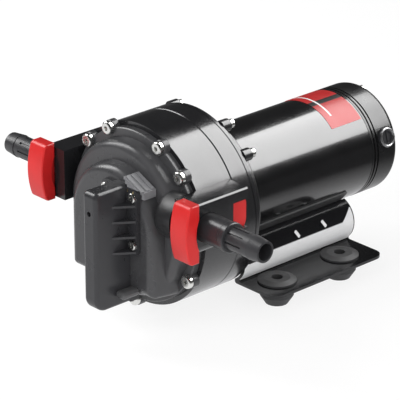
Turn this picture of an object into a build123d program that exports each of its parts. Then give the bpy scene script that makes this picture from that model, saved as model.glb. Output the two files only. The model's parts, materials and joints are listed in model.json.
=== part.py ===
"""Caravan water pump: a 12 V diaphragm pump with its pressure switch, motor and bracket.

Frame: millimetres, +Z up. The origin lies on the floor at the centre of the four foot holes.
The pump axis runs along X: the switch box points to -X and the motor lies towards +X.
Heights that belong to the head are counted from the pump axis.
"""
import os
from math import cos, radians, sin, sqrt, tan

from build123d import *

os.makedirs("parts", exist_ok=True)

# Overall layout
axis_height = 74.0
flange_front_x = -115.5
can_radius = 39.3
head_overhang = 24.7
face_gap = 0.3
running_gap = 0.05
overrun = 1.0

# Head housings
housing_radius = can_radius + head_overhang
cover_flange_inset = 3.5
cover_flange_radius = housing_radius - cover_flange_inset
cover_flange_thickness = 5.0
cover_edge_chamfer = 0.6
valve_housing_length = 31.0
drive_housing_length = 18.0
seam_chamfer = 0.6
rim_groove_setback = 4.0
rim_groove_width = 0.8
rim_groove_depth = 0.5
front_plate_length = 8.0
front_plate_inset = 7.0
front_plate_radius = housing_radius - front_plate_inset
front_plate_fillet = 1.5
plate_lobe_radius = 4.4

# Head screws
screw_circle_inset = 3.0
screw_circle_radius = housing_radius - screw_circle_inset
screw_angles = (42, 66, 114, 138, 210, 270, 330)
screw_lobe_radius = 5.2
screw_shank_radius = 2.1
screw_hole_radius = 2.2
screw_head_radius = 4.7
screw_head_height = 3.4
screw_head_fillet = 1.4
socket_radius = 1.8
socket_depth = 1.8
screw_tip_length = 12.0
socket_sides = 6

# Front cover
disc_inset = 9.5
disc_radius = housing_radius - disc_inset
disc_height = 11.0
disc_draft = 6
disc_fillet = 5.0
dome_inset = 23.5
dome_half_width = housing_radius - dome_inset
dome_drop_inset = 22.0
dome_drop = housing_radius - dome_drop_inset
dome_height = 11.0
dome_draft = 7
dome_corner_radius = 5.0
dome_edge_fillet = 6.0
cover_wall = 3.0
chamber_wall = 14.0
chamber_radius = housing_radius - chamber_wall

# Port blocks
port_offset_x = -2.0
port_offset_z = 15.5
block_front_offset_x = -14.5
block_length = 48.0
block_height = 36.0
block_inset = 8.7
block_inner_y = housing_radius - block_inset
block_depth = 18.2
block_outer_y = block_inner_y + block_depth
block_edge_chamfer = 1.0
block_low_fillet = 6.0
block_notch_gap = 0.5
window_length = 13.0
window_height = 20.0
duct_radius = 4.0
duct_offset_x = 14.0
duct_offset_y = 5.2
duct_y = block_inner_y + duct_offset_y
duct_tube_radius = 7.0
duct_overlap = 6.0
duct_reach = chamber_radius - duct_overlap
port_bore_depth = 16.9
bore_end_y = block_outer_y - port_bore_depth

# Valve deck and chambers
front_recess_depth = 15.0
deck_thickness = 4.0
pocket_count = 5
pocket_start_angle = 47
diaphragm_inset = 8.0
diaphragm_radius = housing_radius - diaphragm_inset
pocket_pitch_share = 31 / 56
pocket_radius_share = 1 / 4
pocket_pitch_radius = pocket_pitch_share * diaphragm_radius
pocket_radius = pocket_radius_share * diaphragm_radius
inlet_valve_offset_share = 3 / 7
inlet_valve_pitch_radius = pocket_pitch_radius + inlet_valve_offset_share * pocket_radius
inlet_valve_radius_share = 17 / 35
inlet_valve_radius = inlet_valve_radius_share * pocket_radius
inlet_valve_thickness = 1.2
inlet_stem_radius = 1.5
inlet_hole_radius = 1.5
inlet_hole_pitch_share = 3 / 10
inlet_hole_pitch_radius = inlet_hole_pitch_share * pocket_radius
inlet_hole_count = 4
ring_wall = 3.0
inlet_group_radius = inlet_hole_pitch_radius + inlet_hole_radius + face_gap
ring_wall_outer_radius = inlet_valve_pitch_radius - inlet_group_radius
ring_wall_inner_radius = ring_wall_outer_radius - ring_wall
outlet_duct_overlap = 8.0
outlet_duct_reach = ring_wall_inner_radius - outlet_duct_overlap
outlet_hole_radius = 1.8
outlet_valve_gap = 3.0
outlet_valve_lap = 3.5
outlet_valve_radius = ring_wall_inner_radius - outlet_valve_gap
outlet_hole_pitch_radius = outlet_valve_radius - outlet_valve_lap
outlet_valve_thickness = 1.8
outlet_stem_radius = 3.0
outlet_bulb_bore_radius = 5.0
stem_bulb_extra = 0.8
stem_bulb_length = 1.6

# Diaphragm, pistons and wobble plate
diaphragm_thickness = 1.6
diaphragm_hole_inset = 1.3
diaphragm_hole_radius = pocket_radius - diaphragm_hole_inset
diaphragm_flex_gap = 1.0
diaphragm_centre_radius = diaphragm_hole_radius - diaphragm_flex_gap
piston_inset = 2.2
piston_radius = diaphragm_centre_radius - piston_inset
piston_thickness = 2.6
backing_thickness = 1.6
web_thickness = 2.5
web_hole_inset = 0.6
web_hole_radius = pocket_radius - web_hole_inset
hub_hole_radius = 12.0
drive_cavity_wall = 12.0
drive_cavity_radius = housing_radius - drive_cavity_wall
wobble_tilt_angle = 3
wobble_setback = 10.5
wobble_arm_thickness = 5.0
wobble_arm_width = 11.0
wobble_ring_radius = 16.5
wobble_lug_radius = 7.0
wobble_boss_radius = 4.5
piston_screw_radius = 2.0
piston_screw_head_radius = 3.6
piston_screw_head_height = 1.4
wobble_bearing_radius = 13.0
wobble_bearing_width = 8.0
slant_hub_radius = 6.5
slant_hub_length = 11.0
hub_flange_radius = 8.0
hub_flange_thickness = 1.7
hub_ring_thickness = 0.9

# Hose fittings
spigot_radius = 8.0
spigot_length = 5.4
spigot_end_gap = 0.5
collar_radius = 10.0
collar_length = 3.4
clip_groove_length = 4.8
root_length = 21.3
stop_radius = 10.3
stop_length = 5.0
tail_radius = 7.9
tail_length = 29.4
tip_barb_radius = 8.3
tip_barb_length = 10.0
tip_radius = 7.3
flute_count = 8
flute_width = 1.3
flute_depth = 1.0
flute_length = 14.5
stop_chamfer = 0.6
hose_bore_radius = 5.8
seal_ring_thickness = 1.7
seal_ring_radius = 7.4
seal_groove_width = 2.1

# Red slide clips
clip_plate_thickness = 4.0
clip_plate_height = 26.0
clip_rear_offset_x = 35.0
clip_rear_corner = 8.0
clip_release_travel = 15.0
grip_height = 45.0
grip_width = 18.0
grip_outset = 3.7
grip_rise = 1.0
grip_waist_height = 24.0
grip_depth = 9.6
grip_bow = 4.0
grip_front_offset_x = -27.0
grip_corner_radius = 3.5
grip_edge_fillet = 1.2

# Pressure switch
switch_y = -13.3
switch_plate_width = 34.0
switch_plate_top = 33.5
switch_plate_bottom = -13.0
switch_plate_thickness = 3.0
switch_plate_corner = 3.0
box_width = 13.0
box_depth = 29.5
box_top = 35.0
box_wall = 3.0
box_bottom_round = 9.0
box_top_round = 4.0
box_edge_fillet = 2.8
heel_length = 7.5
heel_gap = 1.5
heel_depth = 6.5
heel_top = -dome_drop - heel_gap
box_bottom = heel_top - heel_depth
gusset_thickness = 1.6
gusset_depth = 12.5
gusset_margin = 1.5
gusset_count = 4
gusset_pitch = 11.0
gusset_first_z = -10.5
switch_screw_spacing_y = 26.4
switch_screw_spacing_z = 33.7
switch_screw_centre_z = 11.3
switch_screw_radius = 1.4
switch_screw_head_radius = 3.3
switch_screw_head_height = 2.2
switch_screw_head_fillet = 0.9
switch_screw_length = 9.0
switch_socket_radius = 1.3
switch_socket_depth = 1.3
plunger_z = 20.0
pressure_hole_radius = 2.0
pressure_pocket_radius = 4.0
switch_diaphragm_radius = 8.0
switch_diaphragm_thickness = 1.0
plunger_radius = 3.2
plunger_length = 7.0
plunger_travel = 0.5
plunger_arm_end_z = 3.0
plunger_arm_width = 4.0
plunger_arm_thickness = 1.4
guide_length = 4.0
guide_boss_radius = 5.4
guide_gap = 0.2
spring_radius = 2.9
spring_bore_radius = 2.1
adjuster_radius = 2.4
adjuster_seat_radius = 3.2
adjuster_seat_thickness = 1.2
adjuster_seat_depth = 20.8
adjuster_length = 5.5
adjuster_slot_width = 0.8
adjuster_slot_depth = 1.0
adjuster_boss_radius = 4.6
access_hole_radius = 1.8
microswitch_front_depth = 18.0
microswitch_rear_depth = 9.2
microswitch_width = 6.4
microswitch_top_z = 8.0
microswitch_bottom_z = -12.0
post_radius = 1.2
post_gap = 0.1
post_inset_x = 3.0
post_inset_z = 3.5
button_radius = 1.2
button_length = 4.0
button_z = 4.8
button_bore_depth = 3.5
button_gap = 0.2
terminal_count = 2
terminal_thickness = 0.8
terminal_pitch = 5.6
terminal_height = 2.2
terminal_length = 8.0
terminal_centre_y = -24.0
terminal_centre_z = 31.8
boot_front_offset_x = -24.5
boot_length = 13.2
boot_top_y = -17.0
boot_top_z = 40.0
boot_low_y = -34.0
boot_low_z = 32.5
boot_low_drop = 5.0
boot_lip_z = 38.2
seat_z = 30.4
seat_inner_y = -18.0
seat_outer_y = -31.0
boot_gap = 0.4
boot_rib_count = 3
boot_rib_width = 2.4
boot_rib_height = 0.9

# Motor
can_wall = 2.0
can_length = 126.0
bell_step = 0.2
bell_radius = can_radius + bell_step
bell_length = 26.5
bell_wall = 3.0
bell_fillet = 6.0
bell_groove_depth = 1.2
bell_groove_width = 1.4
bell_band_width = 1.6
shaft_radius = 4.0
shaft_clearance_radius = 5.5
front_bearing_radius = 11.0
front_bearing_width = 7.0
rear_bearing_radius = 8.0
rear_bearing_width = 4.0
bearing_wall = 3.0
magnet_thickness = 8.3
magnet_inner_radius = can_radius - (can_wall + magnet_thickness)
magnet_rear_space = 22.0
magnet_setback = 14.0
magnet_length = can_length - magnet_setback - magnet_rear_space
magnet_arc_angle = 110
air_gap = 1.2
armature_radius = magnet_inner_radius - air_gap
armature_rear_space = 24.0
armature_setback = 22.0
armature_length = can_length - armature_setback - armature_rear_space
armature_slots = 12
slot_inner_radius = 15.0
slot_width = 4.4
slot_mouth_width = 1.8
slot_lip = 2.5
winding_inset = 2.8
winding_outer_radius = armature_radius - winding_inset
winding_inner_radius = 9.0
winding_length = 13.0
commutator_radius = 12.0
commutator_length = 22.0
commutator_setback = 3.5
commutator_bars = 12
commutator_slit = 0.6
commutator_slit_depth = 1.5
brush_angle = 17.6
brush_offset = 14.5
brush_width = 7.0
brush_thickness = 5.0
brush_spring_length = 10.7
brush_fit_gap = 0.25
brush_holder_wall = 0.8
brush_holder_start = 14.0
brush_card_thickness = 2.0
brush_card_radius = bell_radius - bell_wall - face_gap
brush_card_bore = 14.0
brush_spring_radius = 2.0
brush_spring_bore_radius = 1.4
brush_cap_radius = 7.2
brush_cap_plug_radius = 5.6
brush_cap_proud = 1.6
brush_cap_plug_depth = 0.2
brush_cap_slot_width = 1.4
brush_cap_slot_depth = 0.8
brush_cap_recess_radius = 4.4
brush_cap_recess_depth = 1.2
bolt_inset = 6.5
bolt_circle_radius = bell_radius - bolt_inset
bolt_angles = (90, 270)
bolt_radius = 2.0
bolt_head_radius = 3.8
bolt_head_height = 2.8
bolt_engagement = 6.0
plate_screw_place_share = 92 / 177
plate_screw_circle_radius = can_radius + plate_screw_place_share * (front_plate_radius - can_radius)
plate_screw_angles = (45, 135, 225, 315)
plate_screw_radius = 2.0
plate_screw_head_radius = 3.8
plate_screw_head_height = 1.6
plate_screw_engagement = 10.0
plate_boss_radius = 4.6
grommet_radius = 6.0
grommet_bore_radius = 3.0
grommet_lip = 1.5
grommet_lip_thickness = 1.5
grommet_inset = 17.5
grommet_drop = bell_radius - grommet_inset
label_thickness = 0.2
label_start_angle = 44
label_arc_angle = 74
label_length = 34.0
label_end_gap = 1.5

# Bracket and feet, heights counted from the floor
sheet_thickness = 2.0
bracket_length = 107.0
bracket_front_x = -51.5
plate_top_z = 16.0
plate_outer_y = 69.0
plate_corner_radius = 8.0
riser_radius_share = 33 / 116
riser_radius = riser_radius_share * (axis_height - plate_top_z)
riser_centre_y = 22.8
riser_centre_share = 7 / 29
riser_centre_z = plate_top_z + riser_centre_share * (axis_height - plate_top_z)
fold_radius = 1.2
fold_arc_angle = -65
liner_gap = 0.1
liner_thickness = 1.2
liner_edge_angle = 32
liner_setback = 3.0
pip_radius = 2.8
pip_height = 1.1
pip_spacing = 26.0
pip_centre_x = 12.5
pip_angle = 27
foot_spacing_x = 61.0
foot_spacing_y = 98.6
foot_top_radius = 13.5
foot_top_height = 2.6
foot_top_edge = 1.2
foot_crown_radius = 9.0
foot_neck_radius = 7.5
foot_hole_radius = 4.0
foot_base_radius = 11.8
foot_waist_height = 6.0
foot_floor_radius = 8.0

# Stations along the pump axis, from front to back
disc_front_x = flange_front_x - disc_height
dome_front_x = disc_front_x - dome_height
cover_seat_x = flange_front_x + cover_flange_thickness
seam_x = cover_seat_x + valve_housing_length
drive_rear_x = seam_x + drive_housing_length
plate_rear_x = drive_rear_x + front_plate_length
can_rear_x = plate_rear_x + can_length
motor_end_x = can_rear_x + bell_length
deck_front_x = cover_seat_x + front_recess_depth
deck_rear_x = deck_front_x + deck_thickness
diaphragm_front_x = seam_x - diaphragm_thickness
wobble_x = seam_x + wobble_setback
port_x = flange_front_x + port_offset_x
port_z = axis_height + port_offset_z
block_front_x = flange_front_x + block_front_offset_x
block_rear_x = block_front_x + block_length
duct_x = flange_front_x + duct_offset_x

# Stations across the port, outwards from the pump axis
spigot_start_y = bore_end_y + spigot_end_gap
collar_start_y = spigot_start_y + spigot_length
groove_start_y = collar_start_y + collar_length
root_start_y = groove_start_y + clip_groove_length
stop_start_y = root_start_y + root_length
tail_start_y = stop_start_y + stop_length
tail_end_y = tail_start_y + tail_length
clip_y = (groove_start_y + root_start_y) / 2

# Planes that several pieces share
tilt = radians(wobble_tilt_angle)
wobble_plane = Plane(origin=(wobble_x, 0, axis_height), x_dir=(0, 1, 0), z_dir=(cos(tilt), 0, sin(tilt)))


def rear_plane(x):
    """Plane square to the pump axis at x: local x runs to +Y, local y up, normal to +X."""
    return Plane(origin=(x, 0, axis_height), x_dir=(0, 1, 0), z_dir=(1, 0, 0))


def front_plane(x):
    """Plane square to the pump axis at x: local x runs to -Y, local y up, normal to -X."""
    return Plane(origin=(x, 0, axis_height), x_dir=(0, -1, 0), z_dir=(-1, 0, 0))


def side_plane(side, x, y):
    """Plane facing out sideways at port height: local x runs along X, normal to the side."""
    return Plane(origin=(x, side * y, port_z), x_dir=(1, 0, 0), z_dir=(0, side, 0))


def on_circle(radius, angle):
    """Point of a circle round the pump axis, its angle counted from local x."""
    return (radius * cos(radians(angle)), radius * sin(radians(angle)))


def ring_sector(inner_radius, outer_radius, start_angle, arc_size):
    """Sketch of a piece of a ring round the pump axis."""
    with BuildSketch(mode=Mode.PRIVATE) as sector:
        with BuildLine():
            outer = CenterArc((0, 0), outer_radius, start_angle, arc_size)
            inner = CenterArc((0, 0), inner_radius, start_angle, arc_size)
            Line(outer @ 0, inner @ 0)
            Line(outer @ 1, inner @ 1)
        make_face()
    return sector.sketch


screw_places = [on_circle(screw_circle_radius, angle) for angle in screw_angles]

# Front cover: lobed flange, drafted disc and the dome that carries the switch
notch_height = block_height + 2 * block_notch_gap
notch_inner_y = block_inner_y - block_notch_gap
notch_width = housing_radius - notch_inner_y + overrun
notch_y = notch_inner_y + notch_width / 2
dome_total_height = disc_height + dome_height
dome_flare = dome_total_height * tan(radians(dome_draft))
switch_plate_centre_z = (switch_plate_top + switch_plate_bottom) / 2
with BuildPart() as front_cover:
    with BuildSketch(rear_plane(flange_front_x)):
        Circle(cover_flange_radius)
        with Locations(*screw_places):
            Circle(screw_lobe_radius)
        with Locations((notch_y, port_offset_z), (-notch_y, port_offset_z)):
            Rectangle(notch_width, notch_height, mode=Mode.SUBTRACT)
    extrude(amount=cover_flange_thickness)
    chamfer(front_cover.faces().sort_by(Axis.X)[0].edges(), length=cover_edge_chamfer)
    with BuildSketch(front_plane(flange_front_x)):
        Circle(disc_radius)
    extrude(amount=disc_height, taper=disc_draft)
    fillet(front_cover.faces().sort_by(Axis.X)[0].edges(), radius=disc_fillet)
    with BuildSketch(front_plane(flange_front_x)) as dome_base:
        Circle(dome_half_width + dome_flare)
        with Locations((0, -(dome_drop + dome_flare) / 2)):
            Rectangle(2 * (dome_half_width + dome_flare), dome_drop + dome_flare)
        fillet(dome_base.vertices().group_by(Axis.Y)[0], radius=dome_corner_radius)
    extrude(amount=dome_total_height, taper=dome_draft)
    fillet(front_cover.faces().sort_by(Axis.X)[0].edges(), radius=dome_edge_fillet)
    # Pad under the base plate of the pressure switch
    with BuildSketch(front_plane(disc_front_x)) as pad:
        with Locations((-switch_y, switch_plate_centre_z)):
            Rectangle(switch_plate_width, switch_plate_top - switch_plate_bottom)
        fillet(pad.vertices(), radius=switch_plate_corner)
    extrude(amount=dome_height)
    # Inlet ring and outlet chamber, open to the back
    with BuildSketch(rear_plane(disc_front_x + cover_wall)):
        Circle(chamber_radius)
        Circle(ring_wall_outer_radius, mode=Mode.SUBTRACT)
        Circle(ring_wall_inner_radius)
    extrude(amount=disc_height - cover_wall + cover_flange_thickness, mode=Mode.SUBTRACT)
    # Pressure passage to the switch and the seat of its diaphragm
    with BuildSketch(rear_plane(dome_front_x)):
        with Locations((switch_y, plunger_z)):
            Circle(pressure_hole_radius)
    extrude(amount=dome_total_height, mode=Mode.SUBTRACT)
    with BuildSketch(rear_plane(dome_front_x + cover_wall)):
        with Locations((switch_y, plunger_z)):
            Circle(pressure_pocket_radius)
    extrude(amount=dome_height, mode=Mode.SUBTRACT)
    with BuildSketch(rear_plane(dome_front_x)):
        with Locations((switch_y, plunger_z)):
            Circle(switch_diaphragm_radius)
    extrude(amount=switch_diaphragm_thickness, mode=Mode.SUBTRACT)
    # Pilot holes of the switch screws
    with BuildSketch(rear_plane(dome_front_x)):
        with Locations((switch_y, switch_screw_centre_z)):
            with GridLocations(switch_screw_spacing_y, switch_screw_spacing_z, 2, 2):
                Circle(switch_screw_radius)
    extrude(amount=switch_screw_length - switch_plate_thickness, mode=Mode.SUBTRACT)
    # Flat seat of the switch terminals on the dome's shoulder
    seat_height = dome_half_width + dome_flare - seat_z
    with BuildSketch(rear_plane(dome_front_x)):
        with Locations(((seat_inner_y + seat_outer_y) / 2, seat_z + seat_height / 2)):
            Rectangle(seat_inner_y - seat_outer_y, seat_height)
    extrude(amount=dome_height, mode=Mode.SUBTRACT)
    with BuildSketch(rear_plane(flange_front_x)):
        with Locations(*screw_places):
            Circle(screw_hole_radius)
    extrude(amount=cover_flange_thickness, mode=Mode.SUBTRACT)
front_cover.part.label = "front_cover"
export_step(front_cover.part, "parts/front_cover.step")

# Valve housing: chambers, valve deck and a port block on each side
block_y = (block_inner_y + block_outer_y) / 2
clip_slot_width = clip_plate_thickness + 2 * face_gap
clip_slot_height = clip_plate_height + 2 * face_gap
port_bore_radius = spigot_radius + face_gap
collar_bore_radius = collar_radius + face_gap
collar_bore_start_y = collar_start_y - face_gap
window_x = block_rear_x - window_length / 2
window_depth = block_outer_y - clip_y - clip_plate_thickness / 2
with BuildPart() as valve_housing:
    with BuildSketch(rear_plane(cover_seat_x)):
        Circle(housing_radius)
    extrude(amount=valve_housing_length)
    chamfer(valve_housing.faces().sort_by(Axis.X)[-1].edges(), length=seam_chamfer)
    with BuildSketch(rear_plane(block_front_x)):
        with Locations((block_y, port_offset_z), (-block_y, port_offset_z)):
            Rectangle(block_outer_y - block_inner_y, block_height)
    extrude(amount=block_length)
    long_edges = valve_housing.edges().filter_by(Axis.X).group_by(Axis.Y)
    outer_edges = long_edges[0] + long_edges[-1]
    chamfer(outer_edges.group_by(Axis.Z)[-1], length=block_edge_chamfer)
    fillet(outer_edges.group_by(Axis.Z)[0], radius=block_low_fillet)
    # Inlet ring, then the outlet duct that bridges it, then the outlet chamber
    with BuildSketch(rear_plane(cover_seat_x)):
        Circle(chamber_radius)
        Circle(ring_wall_outer_radius, mode=Mode.SUBTRACT)
    extrude(amount=front_recess_depth, mode=Mode.SUBTRACT)
    with BuildSketch(side_plane(-1, duct_x, outlet_duct_reach)):
        Circle(duct_tube_radius)
    extrude(amount=chamber_radius - outlet_duct_reach)
    with BuildSketch(rear_plane(cover_seat_x)):
        Circle(ring_wall_inner_radius)
    extrude(amount=front_recess_depth, mode=Mode.SUBTRACT)
    for side, reach in ((-1, outlet_duct_reach), (1, duct_reach)):
        with BuildSketch(side_plane(side, duct_x, reach)):
            Circle(duct_radius)
        extrude(amount=duct_y - reach, mode=Mode.SUBTRACT)
        with BuildSketch(rear_plane(port_x)):
            with Locations((side * duct_y, port_offset_z)):
                Circle(duct_radius)
        extrude(amount=duct_x - port_x + duct_radius, mode=Mode.SUBTRACT)
        with BuildSketch(side_plane(side, port_x, bore_end_y)):
            Circle(port_bore_radius)
        extrude(amount=block_outer_y - bore_end_y, mode=Mode.SUBTRACT)
        with BuildSketch(side_plane(side, port_x, collar_bore_start_y)):
            Circle(collar_bore_radius)
        extrude(amount=block_outer_y - collar_bore_start_y, mode=Mode.SUBTRACT)
        with BuildSketch(rear_plane(block_front_x)):
            with Locations((side * clip_y, port_offset_z)):
                Rectangle(clip_slot_width, clip_slot_height)
        extrude(amount=block_length, mode=Mode.SUBTRACT)
        with BuildSketch(side_plane(side, window_x, block_outer_y)):
            Rectangle(window_length, window_height)
        extrude(amount=-window_depth, mode=Mode.SUBTRACT)
    # Pump chambers, seat of the diaphragm and the valve holes
    with BuildSketch(rear_plane(seam_x)):
        Circle(diaphragm_radius)
    extrude(amount=-diaphragm_thickness, mode=Mode.SUBTRACT)
    with BuildSketch(rear_plane(deck_rear_x)):
        Circle(outlet_bulb_bore_radius)
        with PolarLocations(pocket_pitch_radius, pocket_count, start_angle=pocket_start_angle):
            Circle(pocket_radius)
    extrude(amount=diaphragm_front_x - deck_rear_x, mode=Mode.SUBTRACT)
    with BuildSketch(rear_plane(deck_front_x)):
        Circle(outlet_stem_radius)
        with PolarLocations(outlet_hole_pitch_radius, pocket_count, start_angle=pocket_start_angle):
            Circle(outlet_hole_radius)
        with PolarLocations(inlet_valve_pitch_radius, pocket_count, start_angle=pocket_start_angle):
            Circle(inlet_stem_radius)
            with PolarLocations(inlet_hole_pitch_radius, inlet_hole_count):
                Circle(inlet_hole_radius)
    extrude(amount=deck_thickness, mode=Mode.SUBTRACT)
    with BuildSketch(rear_plane(cover_seat_x)):
        with Locations(*screw_places):
            Circle(screw_hole_radius)
    extrude(amount=valve_housing_length, mode=Mode.SUBTRACT)
valve_housing.part.label = "valve_housing"
export_step(valve_housing.part, "parts/valve_housing.step")

# Drive housing: the ring behind the seam, with the web that clamps the diaphragm
plate_screw_places = [on_circle(plate_screw_circle_radius, angle) for angle in plate_screw_angles]
groove_x = drive_rear_x - rim_groove_setback
with BuildPart() as drive_housing:
    with BuildSketch(rear_plane(seam_x)):
        Circle(housing_radius)
    extrude(amount=drive_housing_length)
    chamfer(drive_housing.edges().filter_by(GeomType.CIRCLE), length=seam_chamfer)
    with BuildSketch(rear_plane(groove_x)):
        Circle(housing_radius)
        Circle(housing_radius - rim_groove_depth, mode=Mode.SUBTRACT)
    extrude(amount=rim_groove_width, mode=Mode.SUBTRACT)
    with BuildSketch(rear_plane(seam_x + web_thickness)):
        Circle(drive_cavity_radius)
        with Locations(*plate_screw_places):
            Circle(plate_boss_radius, mode=Mode.SUBTRACT)
    extrude(amount=drive_housing_length - web_thickness, mode=Mode.SUBTRACT)
    with BuildSketch(rear_plane(seam_x)):
        Circle(hub_hole_radius)
        with PolarLocations(pocket_pitch_radius, pocket_count, start_angle=pocket_start_angle):
            Circle(web_hole_radius)
    extrude(amount=web_thickness, mode=Mode.SUBTRACT)
    with BuildSketch(rear_plane(seam_x)):
        with Locations(*screw_places):
            Circle(screw_hole_radius)
    extrude(amount=drive_housing_length, mode=Mode.SUBTRACT)
    with BuildSketch(rear_plane(drive_rear_x)):
        with Locations(*plate_screw_places):
            Circle(plate_screw_radius)
    extrude(amount=-plate_screw_engagement, mode=Mode.SUBTRACT)
drive_housing.part.label = "drive_housing"
export_step(drive_housing.part, "parts/drive_housing.step")

# Head screws, one solid each, with a hexagon socket
with BuildPart() as head_screws:
    with BuildSketch(front_plane(flange_front_x)):
        with Locations(*[(-y, z) for y, z in screw_places]):
            Circle(screw_head_radius)
    extrude(amount=screw_head_height)
    fillet(head_screws.edges().group_by(Axis.X)[0], radius=screw_head_fillet)
    with BuildSketch(front_plane(flange_front_x - screw_head_height)):
        with Locations(*[(-y, z) for y, z in screw_places]):
            RegularPolygon(socket_radius, socket_sides)
    extrude(amount=-socket_depth, mode=Mode.SUBTRACT)
    with BuildSketch(rear_plane(flange_front_x)):
        with Locations(*screw_places):
            Circle(screw_shank_radius)
    extrude(amount=drive_rear_x - flange_front_x + screw_tip_length)
head_screws.part.label = "head_screws"
export_step(head_screws.part, "parts/head_screws.step")

# Hose fittings with their seals, and the red clips that hold them
seal_y = (spigot_start_y + collar_start_y) / 2
seal_groove_radius = seal_ring_radius - seal_ring_thickness / 2 - running_gap
tip_barb_y = tail_end_y - tip_barb_length
fitting_profile = (
    (spigot_start_y, hose_bore_radius),
    (spigot_start_y, spigot_radius),
    (seal_y - seal_groove_width / 2, spigot_radius),
    (seal_y - seal_groove_width / 2, seal_groove_radius),
    (seal_y + seal_groove_width / 2, seal_groove_radius),
    (seal_y + seal_groove_width / 2, spigot_radius),
    (collar_start_y, spigot_radius),
    (collar_start_y, collar_radius),
    (groove_start_y, collar_radius),
    (groove_start_y, spigot_radius),
    (root_start_y, spigot_radius),
    (root_start_y, collar_radius),
    (stop_start_y, collar_radius),
    (stop_start_y + stop_chamfer, stop_radius),
    (tail_start_y - stop_chamfer, stop_radius),
    (tail_start_y, stop_radius - stop_chamfer),
    (tail_start_y, tail_radius),
    (tip_barb_y, tail_radius),
    (tip_barb_y, tip_barb_radius),
    (tail_end_y, tip_radius),
    (tail_end_y, hose_bore_radius),
)
clip_slot_radius = spigot_radius + face_gap
clip_hole_radius = collar_radius + face_gap
clip_rear_x = flange_front_x + clip_rear_offset_x
grip_front_x = flange_front_x + grip_front_offset_x
grip_rear_x = grip_front_x + grip_depth
grip_end_rear_x = block_front_x - 2 * face_gap
for side, name in ((1, "inlet"), (-1, "outlet")):
    port_plane = Plane(origin=(port_x, 0, port_z), x_dir=(0, side, 0), z_dir=(side, 0, 0))
    port_axis = Axis((port_x, 0, port_z), (0, side, 0))
    with BuildPart() as fitting:
        with BuildSketch(port_plane):
            with BuildLine():
                Polyline(*fitting_profile, close=True)
            make_face()
        revolve(axis=port_axis)
        # Flutes along the tail, short of the smooth stretch that the hose clip squeezes
        with BuildSketch(side_plane(side, port_x, tail_start_y)):
            with PolarLocations(tail_radius, flute_count):
                Rectangle(2 * flute_depth, flute_width)
        extrude(amount=flute_length, mode=Mode.SUBTRACT)
    fitting.part.label = f"{name}_fitting"
    export_step(fitting.part, f"parts/{name}_fitting.step")

    with BuildPart() as seal:
        with BuildSketch(port_plane):
            with Locations((seal_y, seal_ring_radius)):
                Rectangle(seal_ring_thickness, seal_ring_thickness)
        revolve(axis=port_axis)
    seal.part.label = f"{name}_seal"
    export_step(seal.part, f"parts/{name}_seal.step")

    with BuildPart() as clip:
        # Bowed finger grip
        grip_plane = Plane(origin=(0, side * (clip_y + grip_outset), port_z + grip_rise),
                           x_dir=(1, 0, 0), z_dir=(0, -1, 0))
        with BuildSketch(grip_plane) as grip:
            with BuildLine():
                top_front = (grip_front_x + grip_bow, grip_height / 2)
                top_rear = (grip_end_rear_x, grip_height / 2)
                low_front = (grip_front_x + grip_bow, -grip_height / 2)
                low_rear = (grip_end_rear_x, -grip_height / 2)
                waist_top = (grip_end_rear_x, grip_waist_height / 2 - grip_rise)
                waist_low = (grip_end_rear_x, -grip_waist_height / 2 - grip_rise)
                ThreePointArc(low_front, (grip_front_x, 0), top_front)
                Polyline(top_front, top_rear, waist_top)
                ThreePointArc(waist_top, (grip_rear_x, -grip_rise), waist_low)
                Polyline(waist_low, low_rear, low_front)
            make_face()
            fillet(grip.vertices().group_by(Axis.X)[0], radius=grip_corner_radius)
        extrude(amount=grip_width / 2, both=True)
        fillet(clip.faces().filter_by(Axis.Y).edges(), radius=grip_edge_fillet)
        # Keyhole plate: the narrow slot holds the fitting, the wide hole frees it
        with BuildSketch(side_plane(side, 0, clip_y)):
            with Locations(((grip_rear_x + clip_rear_x) / 2, 0)):
                plate = Rectangle(clip_rear_x - grip_rear_x, clip_plate_height)
            fillet(plate.vertices().group_by(Axis.X)[-1], radius=clip_rear_corner)
            with Locations((grip_rear_x, 0)):
                Rectangle(grip_depth, clip_plate_height)
            with Locations((port_x, 0)):
                Circle(clip_slot_radius, mode=Mode.SUBTRACT)
            with Locations((port_x + clip_release_travel / 2, 0)):
                Rectangle(clip_release_travel, 2 * clip_slot_radius, mode=Mode.SUBTRACT)
            with Locations((port_x + clip_release_travel, 0)):
                Circle(clip_hole_radius, mode=Mode.SUBTRACT)
        extrude(amount=clip_plate_thickness / 2, both=True)
    clip.part.label = f"{name}_clip"
    export_step(clip.part, f"parts/{name}_clip.step")

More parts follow.
